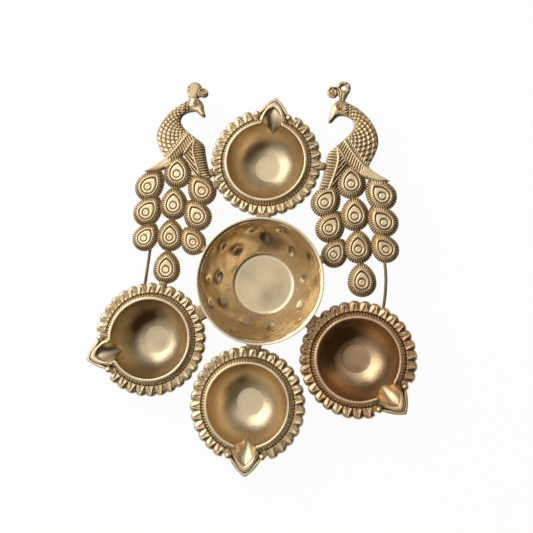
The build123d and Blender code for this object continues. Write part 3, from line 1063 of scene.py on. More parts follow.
    def under_rings(self, plan: DiyaPlan) -> list[Ring]:
        """Work out the lamp's underside, from the petals' edge to its foot.

        Args:
            plan: the lamp's outlines in plan.

        Returns:
            Its rings, downwards.
        """
        outside = wall_curve((self.floor_radius + self.wall, 0.0),
                             (self.mouth_radius + self.wall, self.height - 1.0), self.bulge)
        rings: list[Ring] = [(plan.outer, self.flange_top - 0.8, 0.6), (plan.outer - 0.2, SEAT_HEIGHT, 0.7)]
        for level in np.concatenate((np.linspace(SEAT_HEIGHT, 13.0, 8), np.linspace(11.5, 0.0, 9))):
            share = np.clip((level - self.spout_keel) / (SEAT_HEIGHT - self.spout_keel), 0.0, 1.0) ** 0.6
            keel = 0.78 * share * (plan.edge - self.mouth_radius)
            rings.append((np.interp(level, outside[:, 1], outside[:, 0]) + keel, level, self.under_patina))
        rings.append((self.floor_radius, 0.0, self.foot_patina))
        return rings

    def build(self) -> Piece:
        """Loft the lamp from its floor over the lip, milled band and petals to its foot, and add the beads.

        Returns:
            One lamp about its own axis, its spout along +X.
        """
        plan = self.plan()
        rows = self.floor_rings() + self.basin_rings(plan) + self.lip_rings(plan)
        rows += self.band_rings(plan) + self.petal_rings(plan) + self.under_rings(plan)
        flat = np.zeros_like(plan.angles)
        radius, level, patina_and_shade = (np.array([flat + value for value in column]) for column in zip(*rows))
        around = np.radians(plan.angles)
        lamp = loft("petalled_diya",
                    np.stack((radius * np.cos(around), radius * np.sin(around), level), axis=2), patina_and_shade)
        lamp = join([lamp, self.bead(1.0), self.bead(-1.0)], "petalled_diya")
        smooth_shade(lamp, 70.0)
        return lamp

    def bead(self, side: float) -> Piece:
        """Model one of the two balls beside the spout, flattened a little.

        Args:
            side: 1 for the one on the spout's left, -1 for the other.

        Returns:
            The ball in its place on the lamp.
        """
        clear_bench()
        bpy.ops.mesh.primitive_uv_sphere_add(segments=20, ring_count=12, radius=self.bead_radius * MM)
        piece = bpy.context.active_object
        bpy.ops.object.mode_set(mode="EDIT")
        bpy.ops.mesh.select_all(action="SELECT")
        bpy.ops.transform.resize(value=(1.0, 1.0, 0.9))
        bpy.ops.object.mode_set(mode="OBJECT")
        set_down(piece, (self.bead_centre[0], side * self.bead_centre[1], self.bead_height))
        return piece

    def basin_shade(self, piece: Piece, turn: float, depth: float) -> None:
        """Paint shade into the basin on the side towards the light, whose inner wall faces away from it,
        darken its floor, and add a darker patch of painted shade near the floor.

        Args:
            piece: a lamp about its own axis.
            turn: turn about Z in degrees that the lamp is given afterwards.
            depth: how dark the painted shade is.
        """
        x, y, z = spots_of(piece).T
        radius = np.hypot(x, y)
        bearing = np.arctan2(y, x) + math.radians(turn)
        inside = radius < self.mouth_radius
        rise = np.interp(z, (self.wall + 0.1, self.wall + 3.0, self.height - 1.0), (0.0, 1.0, 0.55))
        rise = rise * inside * (radius > self.floor_radius - 0.2)
        painted_light = depth * rise * ramp(-0.35, 0.9, np.cos(bearing - math.radians(self.shaded_side)))
        painted_light = painted_light + 0.4 * depth * (radius < self.floor_radius) * (np.abs(z - self.wall) < 0.5)
        patch = ramp(0.68, 0.99, np.cos(bearing - math.radians(self.dark_patch_side)))
        patch = patch * bump(self.wall + 3.0, 3.2, z) * (z > self.wall)
        darken(piece, painted_light + self.dark_patch_depth * patch * inside * (radius > self.floor_radius - 0.6))

    def set_out(self) -> None:
        """Model the lamp once, set a copy down at each of the four places and finish it."""
        lamp = self.build()
        pressed = BrassFinish("pressed_diya_brass", grain=0.14, turned=1.4, clean=(0.90, 0.73, 0.48),
                              worn=(0.72, 0.565, 0.35)).material()
        # A darker copy of the same brass for one lamp
        darker_diya = BrassFinish("darker_diya_brass", grain=0.14, turned=1.4, clean=(0.80, 0.57, 0.33),
                              worn=(0.60, 0.41, 0.23)).material()
        for node, x, y, turn, basin_shade in self.places:
            piece = copy_of(lamp, "petalled_" + node)
            # Painted shade in the basin, deeper on some lamps than on others
            self.basin_shade(piece, turn, basin_shade)
            set_down(piece, (x, y, 0.0), turn)
            dress(piece, darker_diya if node == self.darker_diya else pressed, node)
        bpy.data.objects.remove(lamp)


@dataclass
class Feather:
    """One eyed feather of a peacock's train, about its own eye and with its tip along +Y."""

    radius: float = 10.0
    tip: float = 1.48
    ring_tip: float = 1.62
    ribs: int = 36
    samples: int = 6
    rib_depth: float = 0.4
    rib_swell: float = 0.008
    rib_patina: float = 0.42
    # Size, share of the ring's shape, height, share of the ribs and patina of the border's rings
    border_rings: tuple[tuple[float, float, float, float, float], ...] = (
        (0.965, 0.0, 0.0, 0.0, 0.65), (1.0, 0.0, 0.35, 0.3, 0.5), (0.99, 0.0, 0.75, 0.8, 0.34),
        (0.95, 0.05, 1.1, 1.0, 0.24), (0.90, 0.15, 1.4, 1.0, 0.2), (0.84, 0.35, 1.72, 1.0, 0.18),
        (0.78, 0.6, 2.0, 1.0, 0.18), (0.72, 0.85, 2.22, 0.9, 0.18), (0.675, 1.0, 2.4, 0.5, 0.2))
    # Size, share of a circle, height and patina of the rings from the raised ring to the eye's boss
    eye_rings: tuple[tuple[float, float, float, float], ...] = (
        (0.645, 0.0, 2.55, 0.2), (0.625, 0.0, 2.9, 0.05), (0.60, 0.0, 3.06, 0.0), (0.565, 0.0, 3.06, 0.0),
        (0.54, 0.0, 2.9, 0.1), (0.52, 0.0, 2.35, 0.6), (0.485, 0.0, 2.3, 0.75), (0.462, 0.0, 2.75, 0.3),
        (0.44, 0.0, 2.95, 0.06), (0.39, 0.1, 3.02, 0.05), (0.335, 0.55, 3.02, 0.05), (0.29, 1.0, 2.95, 0.1),
        (0.272, 1.0, 2.6, 0.5), (0.245, 1.0, 2.58, 0.6), (0.225, 1.0, 2.85, 0.2), (0.19, 1.0, 3.05, 0.03),
        (0.13, 1.0, 3.15, 0.0), (0.08, 1.0, 3.05, 0.1), (0.05, 1.0, 3.0, 0.15))

    def outline(self, tip: float) -> np.ndarray:
        """Return evenly spaced points round a drop of radius 1, from its tip along +Y.

        Args:
            tip: how far the tip stands from the eye.

        Returns:
            The points, counter-clockwise.
        """
        arch = arc_radius(tip, 1.0)
        turn = np.linspace(math.asin(tip / arch), 0.0, 60)
        side = np.stack((1.0 - arch + arch * np.cos(turn), -arch * np.sin(turn)), axis=1)
        back = np.linspace(0.0, math.pi / 2.0, 46)[1:]
        half = np.concatenate((side, np.stack((np.cos(back), np.sin(back)), axis=1)))
        line = np.concatenate((half, half[::-1] * (-1.0, 1.0)))
        length = np.append(0.0, np.cumsum(np.linalg.norm(np.diff(line, axis=0), axis=1)))
        even = np.linspace(0.0, length[-1], self.ribs * self.samples, endpoint=False)
        return -np.stack((np.interp(even, length, line[:, 0]), np.interp(even, length, line[:, 1])), axis=1)

    def build(self) -> Piece:
        """Loft the feather from its back over the ribbed border and the ring to the boss of its eye.

        Returns:
            The feather about its own eye.
        """
        border = self.outline(self.tip)
        drop = self.outline(self.ring_tip)
        station = np.arange(self.ribs * self.samples)
        turn = math.pi / 2.0 + 2.0 * math.pi * station / len(station)
        circle = np.stack((np.cos(turn), np.sin(turn)), axis=1)
        rib = np.cos(2.0 * math.pi * station / self.samples)
        rings = []
        patina_and_shade = []
        for size, drawn, level, ribbed, dark in self.border_rings:
            plan = (border * (1.0 - drawn) + drop * drawn) * size * self.radius
            plan = plan * (1.0 + self.rib_swell * ribbed * rib[:, None])
            rings.append(np.column_stack((plan, level + self.rib_depth * ribbed * rib)))
            patina_and_shade.append(np.clip(dark - self.rib_patina * ribbed * rib, 0.0, 1.0))
        for size, rounding, level, dark in self.eye_rings:
            plan = (drop * (1.0 - rounding) + circle * rounding) * size * self.radius
            rings.append(np.column_stack((plan, np.full(len(plan), level))))
            patina_and_shade.append(np.full(len(plan), dark))
        return loft("eyed_feather", np.array(rings), np.array(patina_and_shade))


@dataclass
class CastFace:
    """The upper face of a peacock's body while its relief is worked, one value per point."""

    spots: np.ndarray           # in this bird's stance
    x: np.ndarray               # in the right bird's body
    y: np.ndarray
    depth: np.ndarray           # how far inside the outline
    shoulder: np.ndarray        # from the rib between shoulder and wing, and along it
    shoulder_run: np.ndarray
    wing: np.ndarray            # from the wing's rib
    leg: np.ndarray             # from the leg's rib
    collar: np.ndarray          # from the collar, and along it
    collar_run: np.ndarray
    high: np.ndarray            # height above the back
    dark: np.ndarray            # patina and painted shade

    @property
    def above(self) -> np.ndarray:
        """1 above the shoulder's rib, 0 below it."""
        return ramp(-0.1, 0.1, self.shoulder)

    @property
    def head(self) -> np.ndarray:
        """1 on the head, 0 behind the collar."""
        return ramp(-0.2, 0.2, self.collar) * ramp(40.0, 42.0, self.y)

    def inside(self, start: float, end: float) -> np.ndarray:
        """Return 0 up to a depth inside the outline and 1 past another."""
        return ramp(start, end, self.depth)

    def work(self, high: np.ndarray, dark: np.ndarray) -> None:
        """Raise and darken the points by given amounts."""
        self.high = self.high + high
        self.dark = self.dark + dark


@dataclass
class Peacock:
    """One cast peacock: body, crest and a train of ten eyed feathers."""

    side: Side
    place: Point
    turn: float
    crest_lobe: Point
    crest_scroll: Point
    drilled: bool
    lobe_radius: float
    lobe_foot: float
    scroll_radius: float
    curl_pitch: float
    stem_path: Line
    # How much shade is painted on the side of each feather's border that faces away from the light
    feather_lee_shade: float
    # Shortening, lean and shift of the body from the right bird's stance
    stance: tuple[float, float, Point] = (1.0, 0.0, (0.0, 0.0))
    cell: float = 0.26
    # First place, step, lean and radii of each row of feathers
    train: tuple[tuple[Point, Point, float, tuple[float, ...]], ...] = (
        ((0.0, 0.0), (1.9, -21.8), 1.0, (9.7, 9.5, 9.2, 9.3)),
        ((-17.6, -12.2), (2.7, -17.4), -32.0, (9.6, 9.4, 8.5)),
        ((19.9, -8.6), (0.8, -17.7), 38.0, (9.7, 9.5, 8.6)),
    )
    outline_runs: tuple[Line, ...] = (
        ((-3.0, 57.2), (-0.2, 55.6), (3.8, 53.2), (7.8, 49.8), (11.8, 45.7), (15.2, 40.3), (17.3, 35.0),
         (18.2, 30.2), (17.9, 26.0), (16.8, 22.4), (15.0, 18.3), (13.2, 15.2), (11.5, 12.1)),
        ((11.5, 12.1), (13.0, 10.0), (16.0, 7.6), (20.9, 4.5), (25.2, 1.8)),
        ((25.2, 1.8), (20.8, 0.5), (12.9, 2.2), (7.0, 5.2), (2.5, 9.0), (-0.9, 13.0), (-1.9, 13.8)),
        ((-1.9, 13.8), (-3.5, 10.4), (-7.1, 3.8), (-11.2, -3.6)),
        ((-11.2, -3.6), (-22.1, -4.6)),
        ((-22.1, -4.6), (-20.7, -0.1), (-18.9, 5.9), (-17.1, 13.4), (-15.9, 19.7), (-13.9, 23.0),
         (-8.3, 27.6), (-1.6, 33.5), (1.8, 38.4), (2.2, 41.5), (0.9, 44.5), (-2.4, 46.6), (-6.4, 47.3),
         (-8.7, 46.7), (-10.6, 44.9), (-12.4, 42.8)),
        ((-12.4, 42.8), (-14.4, 42.4)),
        ((-14.4, 42.4), (-14.7, 44.5), (-13.5, 48.2), (-12.7, 52.4), (-10.7, 55.9), (-7.6, 58.2)),
        ((-7.6, 58.2), (-5.2, 58.6), (-3.0, 57.2)),
    )
    shoulder_rib: Line = (
        (-4.8, 31.0), (-2.6, 27.2), (0.6, 21.9), (3.7, 17.5), (8.1, 12.2), (13.0, 7.9), (19.5, 4.0),
        (25.2, 1.8))
    wing_rib: Line = (
        (-8.4, 25.0), (-6.8, 22.2), (-4.9, 18.3), (-2.4, 14.6), (1.0, 10.6), (5.0, 7.0), (9.5, 4.6))
    leg_rib: Line = ((-8.8, 25.0), (-8.4, 16.3), (-10.6, 8.0), (-13.7, -0.2), (-15.4, -5.0))
    collar: Line = ((-1.7, 45.0), (-1.1, 48.3), (-0.9, 52.0), (-1.5, 57.5))
    knob_row: float = 1.5
    knob_pitch: float = 2.1
    throat: Point = (-4.4, 49.6)
    eye: Point = (-7.8, 53.0)
    eye_ball: float = 0.6
    eye_ring: float = 1.1
    eye_lid: float = 1.75
    crest_root: Point = (-5.2, 56.8)
    leaf_height: float = 2.0
    stem_half: float = 0.8
    stem_height: float = 2.9
    curl_start: float = 0.55
    curl_end: float = 0.35
    eyelet_radius: float = 1.75
    scale_hub: Point = (-6.5, 39.5)
    scale_width: float = 3.7
    scale_turn: float = 15.2
    barb_pitch: float = 1.8
    pinion_pitch: float = 2.0
    front_pitch: float = 2.1
    rear_pitch: float = 1.9

    def stand(self, points: np.ndarray) -> np.ndarray:
        """Move points of the right bird's body into this bird's stance.

        Args:
            points: the points.

        Returns:
            The points in this bird's stance.
        """
        size, lean, shift = self.stance
        x, y = np.moveaxis(points, -1, 0)
        return np.stack((x + lean * y + shift[0], size * y + shift[1]), axis=-1)

    def unstand(self, points: np.ndarray) -> np.ndarray:
        """Move points in this bird's stance back into the right bird's body.

        Args:
            points: the points.

        Returns:
            The points in the right bird's body.
        """
        size, lean, shift = self.stance
        y = (points[:, 1] - shift[1]) / size
        return np.stack((points[:, 0] - shift[0] - lean * y, y), axis=1)

    def edge(self) -> np.ndarray:
        """Return the outline of the body without its crest."""
        return self.stand(np.concatenate([line_through(run)[:-1] for run in self.outline_runs]))

    def stem(self) -> np.ndarray:
        """Draw the strip that rises beside the crest and curls inwards into its scroll.

        Returns:
            Its middle line.
        """
        scroll = np.array(self.crest_scroll)
        start = self.scroll_radius - self.stem_half
        turns = (start - self.curl_end) / self.curl_pitch
        turn = math.pi * np.linspace(self.curl_start, self.curl_start + 2.0 * turns, 64)
        wind = np.linspace(start, self.curl_end, 64)
        curl = scroll + wind[:, None] * np.stack((np.cos(turn), np.sin(turn)), axis=1)
        rise = [tuple(scroll + np.array(step)) for step in self.stem_path]
        return np.concatenate((line_through((*rise, tuple(curl[0])))[:-1], curl))

    def depth(self, spots: np.ndarray) -> np.ndarray:
        """Measure how far points lie inside the body and its crest.

        Args:
            spots: points in this bird's stance.

        Returns:
            Depth of each point, negative outside.
        """
        outline = self.edge()
        closed = np.concatenate((outline, outline[:1]))
        inside = np.zeros(len(spots), bool)
        for start, end in zip(closed, closed[1:]):
            crosses = (start[1] > spots[:, 1]) != (end[1] > spots[:, 1])
            if crosses.any():
                at = start[0] + (spots[:, 1] - start[1]) / (end[1] - start[1]) * (end[0] - start[0])
                inside ^= crosses & (spots[:, 0] < at)
        away = np.abs(line_distance(spots, closed)[0])
        root = self.stand(np.array(self.crest_root))
        lobe = np.array(self.crest_lobe)
        scroll = np.array(self.crest_scroll)
        parts = [np.where(inside, away, -away), self.scroll_radius - 0.5 - np.hypot(*(spots - scroll).T)]
        for share in np.linspace(0.0, 1.0, 16):
            size = self.lobe_radius + (self.lobe_foot - self.lobe_radius) * share
            parts.append(size - np.hypot(*(spots - lobe - share * (root - lobe)).T))
        parts.append(self.stem_half - np.abs(line_distance(spots, self.stem())[0]))
        depth = np.max(parts, axis=0)
        if self.drilled:
            depth = np.minimum(depth, np.hypot(*(spots - lobe).T) - self.eyelet_radius)
        return depth

    def plain_face(self, spots: np.ndarray, depth: np.ndarray, lee: np.ndarray) -> CastFace:
        """Lay out the body's face, rounded and still plain.

        Args:
            spots: points in this bird's stance.
            depth: how far each one lies inside the outline.
            lee: how far the nearest edge faces away from the light, 0 to 1.

        Returns:
            The face, ready for its relief.
        """
        home = self.unstand(spots)
        shoulder, shoulder_run = line_distance(home, line_through(self.shoulder_rib))
        collar, collar_run = line_distance(home, line_through(self.collar))
        # The face starts with painted shade along the outline, stronger where the edge faces away from the
        # light
        return CastFace(
            spots=spots, x=home[:, 0], y=home[:, 1], depth=depth,
            shoulder=shoulder, shoulder_run=shoulder_run, collar=collar, collar_run=collar_run,
            wing=line_distance(home, line_through(self.wing_rib))[0],
            leg=line_distance(home, line_through(self.leg_rib))[0],
            high=1.0 + 1.25 * (1.0 - np.exp(-depth)) + 0.9 * (1.0 - np.exp(-depth / 4.0)),
            dark=0.3 * np.exp(-depth / 0.6) + 0.55 * lee * np.exp(-depth / 1.1))

    def scales(self, face: CastFace) -> None:
        """Cover breast, back and neck with pointed scales.

        Args:
            face: the body's face.
        """
        x = face.x - self.scale_hub[0]
        y = face.y - self.scale_hub[1]
        out = np.hypot(x, y) / self.scale_width
        around = np.degrees(np.arctan2(y, x)) / self.scale_turn
        slant = out + around - np.round(out + around)
        cross = out - around - np.round(out - around)
        rim = 2.0 * np.maximum(np.abs(slant), np.abs(cross))
        field = face.above * ramp(2.9, 3.4, face.shoulder) * (1.0 - face.head) * face.inside(0.35, 0.9)
        field = field * (1.0 - ramp(42.0, 43.0, face.y) * (1.0 - ramp(2.4, 2.9, -face.collar)))
        face.work(field * (0.6 * (1.0 - rim ** 2.4) + 0.45 * (cross - slant) - 0.3),
                  field * 0.42 * ramp(0.6, 0.98, rim))

    def barbs(self, face: CastFace) -> None:
        """Cut the short barbs along the shoulder and the long ones of the wing below it.

        Args:
            face: the body's face.
        """
        quills = waves(face.shoulder_run + 0.4 * face.shoulder, self.barb_pitch)
        field = face.above * ramp(0.6, 1.0, face.shoulder) * (1.0 - ramp(2.5, 2.9, face.shoulder))
        field = field * (1.0 - face.head) * face.inside(0.4, 0.9)
        field = field * (1.0 - ramp(24.0, 27.0, face.shoulder_run))
        face.work(field * (0.55 * quills - 0.35), field * (0.5 - 0.55 * quills))
        quills = waves(face.shoulder_run + 0.6 * face.shoulder, self.pinion_pitch)
        field = (1.0 - face.above) * ramp(0.5, 0.9, -face.shoulder) * ramp(0.5, 0.9, face.wing)
        field = field * (1.0 - ramp(23.0, 25.0, face.shoulder_run)) * face.inside(0.3, 0.8)
        face.work(field * (0.65 * quills - 0.4), field * (0.65 - 0.8 * quills))

    def thigh(self, face: CastFace) -> None:
        """Cut the feathering in front of the leg's rib and behind it.

        Args:
            face: the body's face.
        """
        field = ramp(0.5, 0.9, -face.wing) * (1.0 - face.above) * face.inside(0.4, 0.9)
        front = waves(face.y + 0.22 * face.x, self.front_pitch)
        rear = waves(0.62 * face.y - 0.78 * face.x, self.rear_pitch)
        fore = field * ramp(0.5, 0.9, -face.leg) * (1.0 - ramp(25.5, 26.5, face.y))
        hind = field * ramp(0.5, 0.9, face.leg)
        face.work(fore * (0.6 * front - 0.4) + hind * (0.6 * rear - 0.75),
                  fore * (0.6 - 0.75 * front) + hind * (0.75 - 0.6 * rear))

    def ribs(self, face: CastFace) -> None:
        """Raise the ribs that part shoulder, wing and leg.

        Args:
            face: the body's face.
        """
        below = (1.0 - face.above) * ramp(-1.5, 0.5, -face.shoulder)
        lines = ((face.shoulder, 0.75, 1.0), (face.wing, 0.6, below), (face.leg, 0.65, below))
        for line, width, field in lines:
            ridge = 0.6 * bump(0.0, width, line) * face.inside(0.2, 0.8) * field
            face.work(ridge, -ridge)

    def neck(self, face: CastFace) -> None:
        """Ring the neck with a grooved collar and two rows of knobs, and hollow the throat and paint shade
        into it.

        Args:
            face: the body's face.
        """
        field = ramp(42.0, 43.0, face.y) * face.inside(0.4, 0.9)
        rows = bump(self.knob_row, 0.9, face.collar) + bump(-self.knob_row, 0.9, face.collar)
        groove = (bump(0.0, 0.45, face.collar) + 0.75 * rows) * field
        beat = np.cos(2.0 * math.pi * face.collar_run / self.knob_pitch)
        knobs = rows * np.clip(0.4 + beat, 0.0, 1.0) * field
        throat = bump(self.throat[0], 2.4, face.x) * bump(self.throat[1], 1.7, face.y)
        # The throat's hollow is also darkened with painted shade
        face.work(0.9 * knobs - 0.5 * groove - 0.3 * throat, 0.7 * groove + 0.45 * throat - 0.9 * knobs)

    def gaze(self, face: CastFace) -> None:
        """Raise the eye's ball and lid, with a dark ring between them and a shade outside.

        Args:
            face: the body's face.
        """
        away = np.hypot(*(face.spots - self.stand(np.array(self.eye))).T)
        ball = bump(0.0, self.eye_ball, away)
        lid = bump(self.eye_lid, 0.4, away)
        face.work(0.5 * lid - 0.5 * bump(self.eye_ring, 0.35, away) + 0.5 * ball,
                  0.7 * bump(self.eye_ring, 0.36, away) - 0.3 * lid + 0.35 * bump(2.5, 0.4, away))

    def crest(self, face: CastFace) -> None:
        """Flatten an undrilled crest into a leaf, and raise the strip that curls beside it.

        Args:
            face: the body's face.
        """
        raised = ramp(57.3, 58.6, face.y)
        field = raised * face.inside(0.2, 0.7)
        leaf = field * (0.0 if self.drilled else 1.0) * face.inside(0.7, 1.3)
        face.work(leaf * (self.leaf_height - face.high), 0.36 * leaf)
        strip = np.abs(line_distance(face.spots, self.stem())[0]) / self.stem_half
        ridge = np.clip(1.0 - strip ** 2, 0.0, 1.0) * raised
        face.work(ridge * (self.stem_height - face.high) * np.clip(face.depth / 0.5, 0.0, 1.0), -0.4 * ridge)
        parting = bump(1.2, 0.35, strip) * field * (1.0 if self.drilled else 0.4)
        face.work(-0.6 * parting, 0.5 * parting)

    def relief(self, spots: np.ndarray, depth: np.ndarray, lee: np.ndarray) -> tuple[np.ndarray, np.ndarray]:
        """Work out the cast relief of the body.

        Args:
            spots: points in this bird's stance.
            depth: how far each one lies inside the outline.
            lee: how far the nearest edge faces away from the light, 0 to 1.

        Returns:
            Height above the back, and the patina and painted shade, of every point.
        """
        face = self.plain_face(spots, np.clip(depth, 0.0, None), lee)
        for step in (self.scales, self.barbs, self.thigh, self.ribs, self.neck, self.gaze, self.crest):
            step(face)
        return face.high, np.clip(face.dark, 0.0, 1.0)

    def body(self) -> Piece:
        """Model the body as a cast relief with a flat back.

        Returns:
            The closed body in this bird's stance.
        """
        reach = np.concatenate(
            (self.edge(), [np.array(self.crest_lobe) + 5.0, np.array(self.crest_scroll) - 4.0]))
        low = reach.min(0) - 1.0
        across, up = (int(round(size / self.cell)) for size in reach.max(0) + 1.0 - low)
        columns = low[0] + self.cell * np.arange(across + 1)
        rows = low[1] + self.cell * np.arange(up + 1)
        grid = np.stack(np.meshgrid(columns, rows), axis=2).reshape(-1, 2)
        depth = self.depth(grid)
        rise, run = np.gradient(depth.reshape(up + 1, across + 1), self.cell)
        run = run if self.side is Side.RIGHT else -run
        lee = np.clip(-run * math.cos(LEE) - rise * math.sin(LEE), 0.0, 1.0).ravel()
        kept = depth > -0.5 * self.cell
        near = np.flatnonzero(kept & (np.abs(depth) <= 0.5 * self.cell))
        grid[near] -= self.way_in(grid[near]) * depth[near, None]
        depth[near] = 0.0
        level, patina_and_shade = self.relief(grid, depth, lee)
        clear_bench()
        bpy.ops.mesh.primitive_grid_add(x_subdivisions=across, y_subdivisions=up, size=MM, calc_uvs=False)
        piece = rename(bpy.context.active_object, "peacock_body")
        points = np.column_stack((grid, level)) * MM
        piece.data.vertices.foreach_set("co", points.astype(np.float32).ravel())
        dark = piece.data.attributes.new("patina_and_shade", "FLOAT", "POINT")
        dark.data.foreach_set("value", patina_and_shade.astype(np.float32))
        piece.data.attributes.new("turning", "FLOAT", "POINT")
        self.trim(piece, kept)
        self.close_back(piece)
        return piece

    def way_in(self, spots: np.ndarray, step: float = 0.02) -> np.ndarray:
        """Work out which way the body's depth grows, from small steps both ways.

        Args:
            spots: points in this bird's stance.
            step: length of the small steps.

        Returns:
            For each point, the move that adds 1 to its depth.
        """
        slope = np.stack([(self.depth(spots + shift) - self.depth(spots - shift)) / (2.0 * step)
                          for shift in ((step, 0.0), (0.0, step))], axis=1)
        return slope / np.clip(np.hypot(*slope.T), 0.3, None)[:, None] ** 2

    @staticmethod
    def trim(piece: Piece, kept: np.ndarray) -> None:
        """Cut a grid down to the points that stay, with triangles where three corners of a square do.

        Args:
            piece: the grid.
            kept: whether each of its points stays.
        """
        take(piece)
        bpy.ops.object.mode_set(mode="EDIT")
        bpy.ops.mesh.select_mode(type="FACE")
        for cut, corners in (("FIXED_ALTERNATE", (0, 2)), ("FIXED", (1, 3))):
            bpy.ops.mesh.select_all(action="DESELECT")
            mesh = bmesh.from_edit_mesh(piece.data)
            for square in mesh.faces:
                gone = [place for place, vert in enumerate(square.verts) if not kept[vert.index]]
                square.select_set(len(square.verts) == 4 and len(gone) == 1 and gone[0] in corners)
            bpy.ops.mesh.quads_convert_to_tris(quad_method=cut)
        bpy.ops.mesh.select_mode(type="VERT")
        bpy.ops.mesh.select_all(action="DESELECT")
        mesh = bmesh.from_edit_mesh(piece.data)
        for vert in mesh.verts:
            vert.select_set(not kept[vert.index])
        bpy.ops.mesh.delete(type="VERT")
        bpy.ops.mesh.select_all(action="SELECT")
        bpy.ops.mesh.delete_loose()
        bpy.ops.object.mode_set(mode="OBJECT")

    @staticmethod
    def close_back(piece: Piece) -> None:
        """Extrude a relief's open edges down to the back and close it there.

        Args:
            piece: the relief, open underneath.
        """
        take(piece)
        bpy.ops.object.mode_set(mode="EDIT")
        bpy.ops.mesh.select_all(action="DESELECT")
        bpy.ops.mesh.select_mode(type="EDGE")
        bpy.ops.mesh.select_non_manifold()
        bpy.ops.mesh.extrude_edges_indiv()
        for vert in bmesh.from_edit_mesh(piece.data).verts:
            if vert.select:
                vert.co.z = 0.0
        bpy.ops.mesh.fill(use_beauty=False)
        bpy.ops.object.mode_set(mode="OBJECT")
        face_outwards(piece)

    def build(self, feather: Piece, size: float) -> Piece:
        """Join the body and ten copies of the feather and set the bird down.

        Args:
            feather: the eyed feather, about its own eye.
            size: its radius.

        Returns:
            The bird in its place.
        """
        away = LEE if self.side is Side.RIGHT else math.pi - LEE
        parts = [self.body()]
        for start, step, lean, radii in self.train:
            for place, radius in enumerate(radii):
                copy = copy_of(feather, "feather_copy")
                x, y, _ = spots_of(copy).T
                # Painted shade on the side of the feather's border that faces away from the light
                lee = np.clip(np.cos(np.arctan2(y, x) - away + math.radians(lean)), 0.0, 1.0)
                darken(copy, self.feather_lee_shade * lee * ramp(0.6 * size, 0.85 * size, np.hypot(x, y)))
                spot = (start[0] + step[0] * place, start[1] + step[1] * place, 0.0)
                set_down(copy, spot, lean, radius / size)
                parts.append(copy)
        bird = join(parts, f"{self.side.value}_cast_peacock")
        if self.side is Side.LEFT:
            take(bird)
            bird.scale = (-1.0, 1.0, 1.0)
            bpy.ops.object.transform_apply(location=False, rotation=False, scale=True)
            face_outwards(bird)
        set_down(bird, (*self.place, SEAT_HEIGHT), self.turn)
        smooth_shade(bird, 70.0)
        return bird

    def dress(self, piece: Piece, material: bpy.types.Material) -> None:
        """Finish the bird in cast brass."""
        dress(piece, material, f"{self.side.value}_peacock")


@dataclass
class Joins:
    """The brazed tabs and lugs, softened into lumps of braze, and the two stay wires."""

    grit: float = 0.45
    swell: float = 0.35
    rounds: int = 14

    def lump(self, node: str) -> Piece:
        """Make a lump of braze from a merged copy of a tab or lug.

        Args:
            node: the tab or lug.

        Returns:
            The lump.
        """
        piece = copy_of(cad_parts[node], "braze_" + node)
        bpy.ops.object.mode_set(mode="EDIT")
        bpy.ops.mesh.select_all(action="SELECT")
        bpy.ops.mesh.remove_doubles(threshold=0.01 * MM)
        bpy.ops.object.mode_set(mode="OBJECT")
        fine = piece.modifiers.new("fine", "REMESH")
        fine.mode = "VOXEL"
        fine.voxel_size = self.grit * MM
        soft = piece.modifiers.new("soft", "SMOOTH")
        soft.factor = 0.5
        soft.iterations = self.rounds
        full = piece.modifiers.new("full", "DISPLACE")
        full.strength = self.swell * MM
        full.mid_level = 0.0
        for name in ("fine", "soft", "full"):
            bpy.ops.object.modifier_apply(modifier=name)
        smooth_shade(piece, 80.0)
        return piece

    def dress(self) -> None:
        """Lay the lumps of braze, darkened with painted shade, and give the wires a drawn brass finish."""
        # Braze: a darker copy of the brass, with painted shade as for lumps lying in shadow
        braze = BrassFinish("braze_brass_painted_shade", reads_patina_and_shade=False, specks=0.6, grain=0.35, gloss=(0.36, 0.56),
                            clean=(0.56, 0.41, 0.23), worn=(0.34, 0.23, 0.12)).material()
        drawn = BrassFinish("drawn_wire_brass", reads_patina_and_shade=False, specks=0.6, grain=0.08, gloss=(0.30, 0.45),
                            clean=(0.30, 0.20, 0.11), worn=(0.17, 0.11, 0.06)).material()
        for node in [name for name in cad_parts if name.endswith(("_tab", "_lug"))]:
            dress(self.lump(node), braze, node)
        for node in [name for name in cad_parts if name.endswith("_wire")]:
            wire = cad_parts[node]
            wire.data.materials.clear()
            wire.data.materials.append(drawn)
            LOG.info("%s keeps its solid", node)


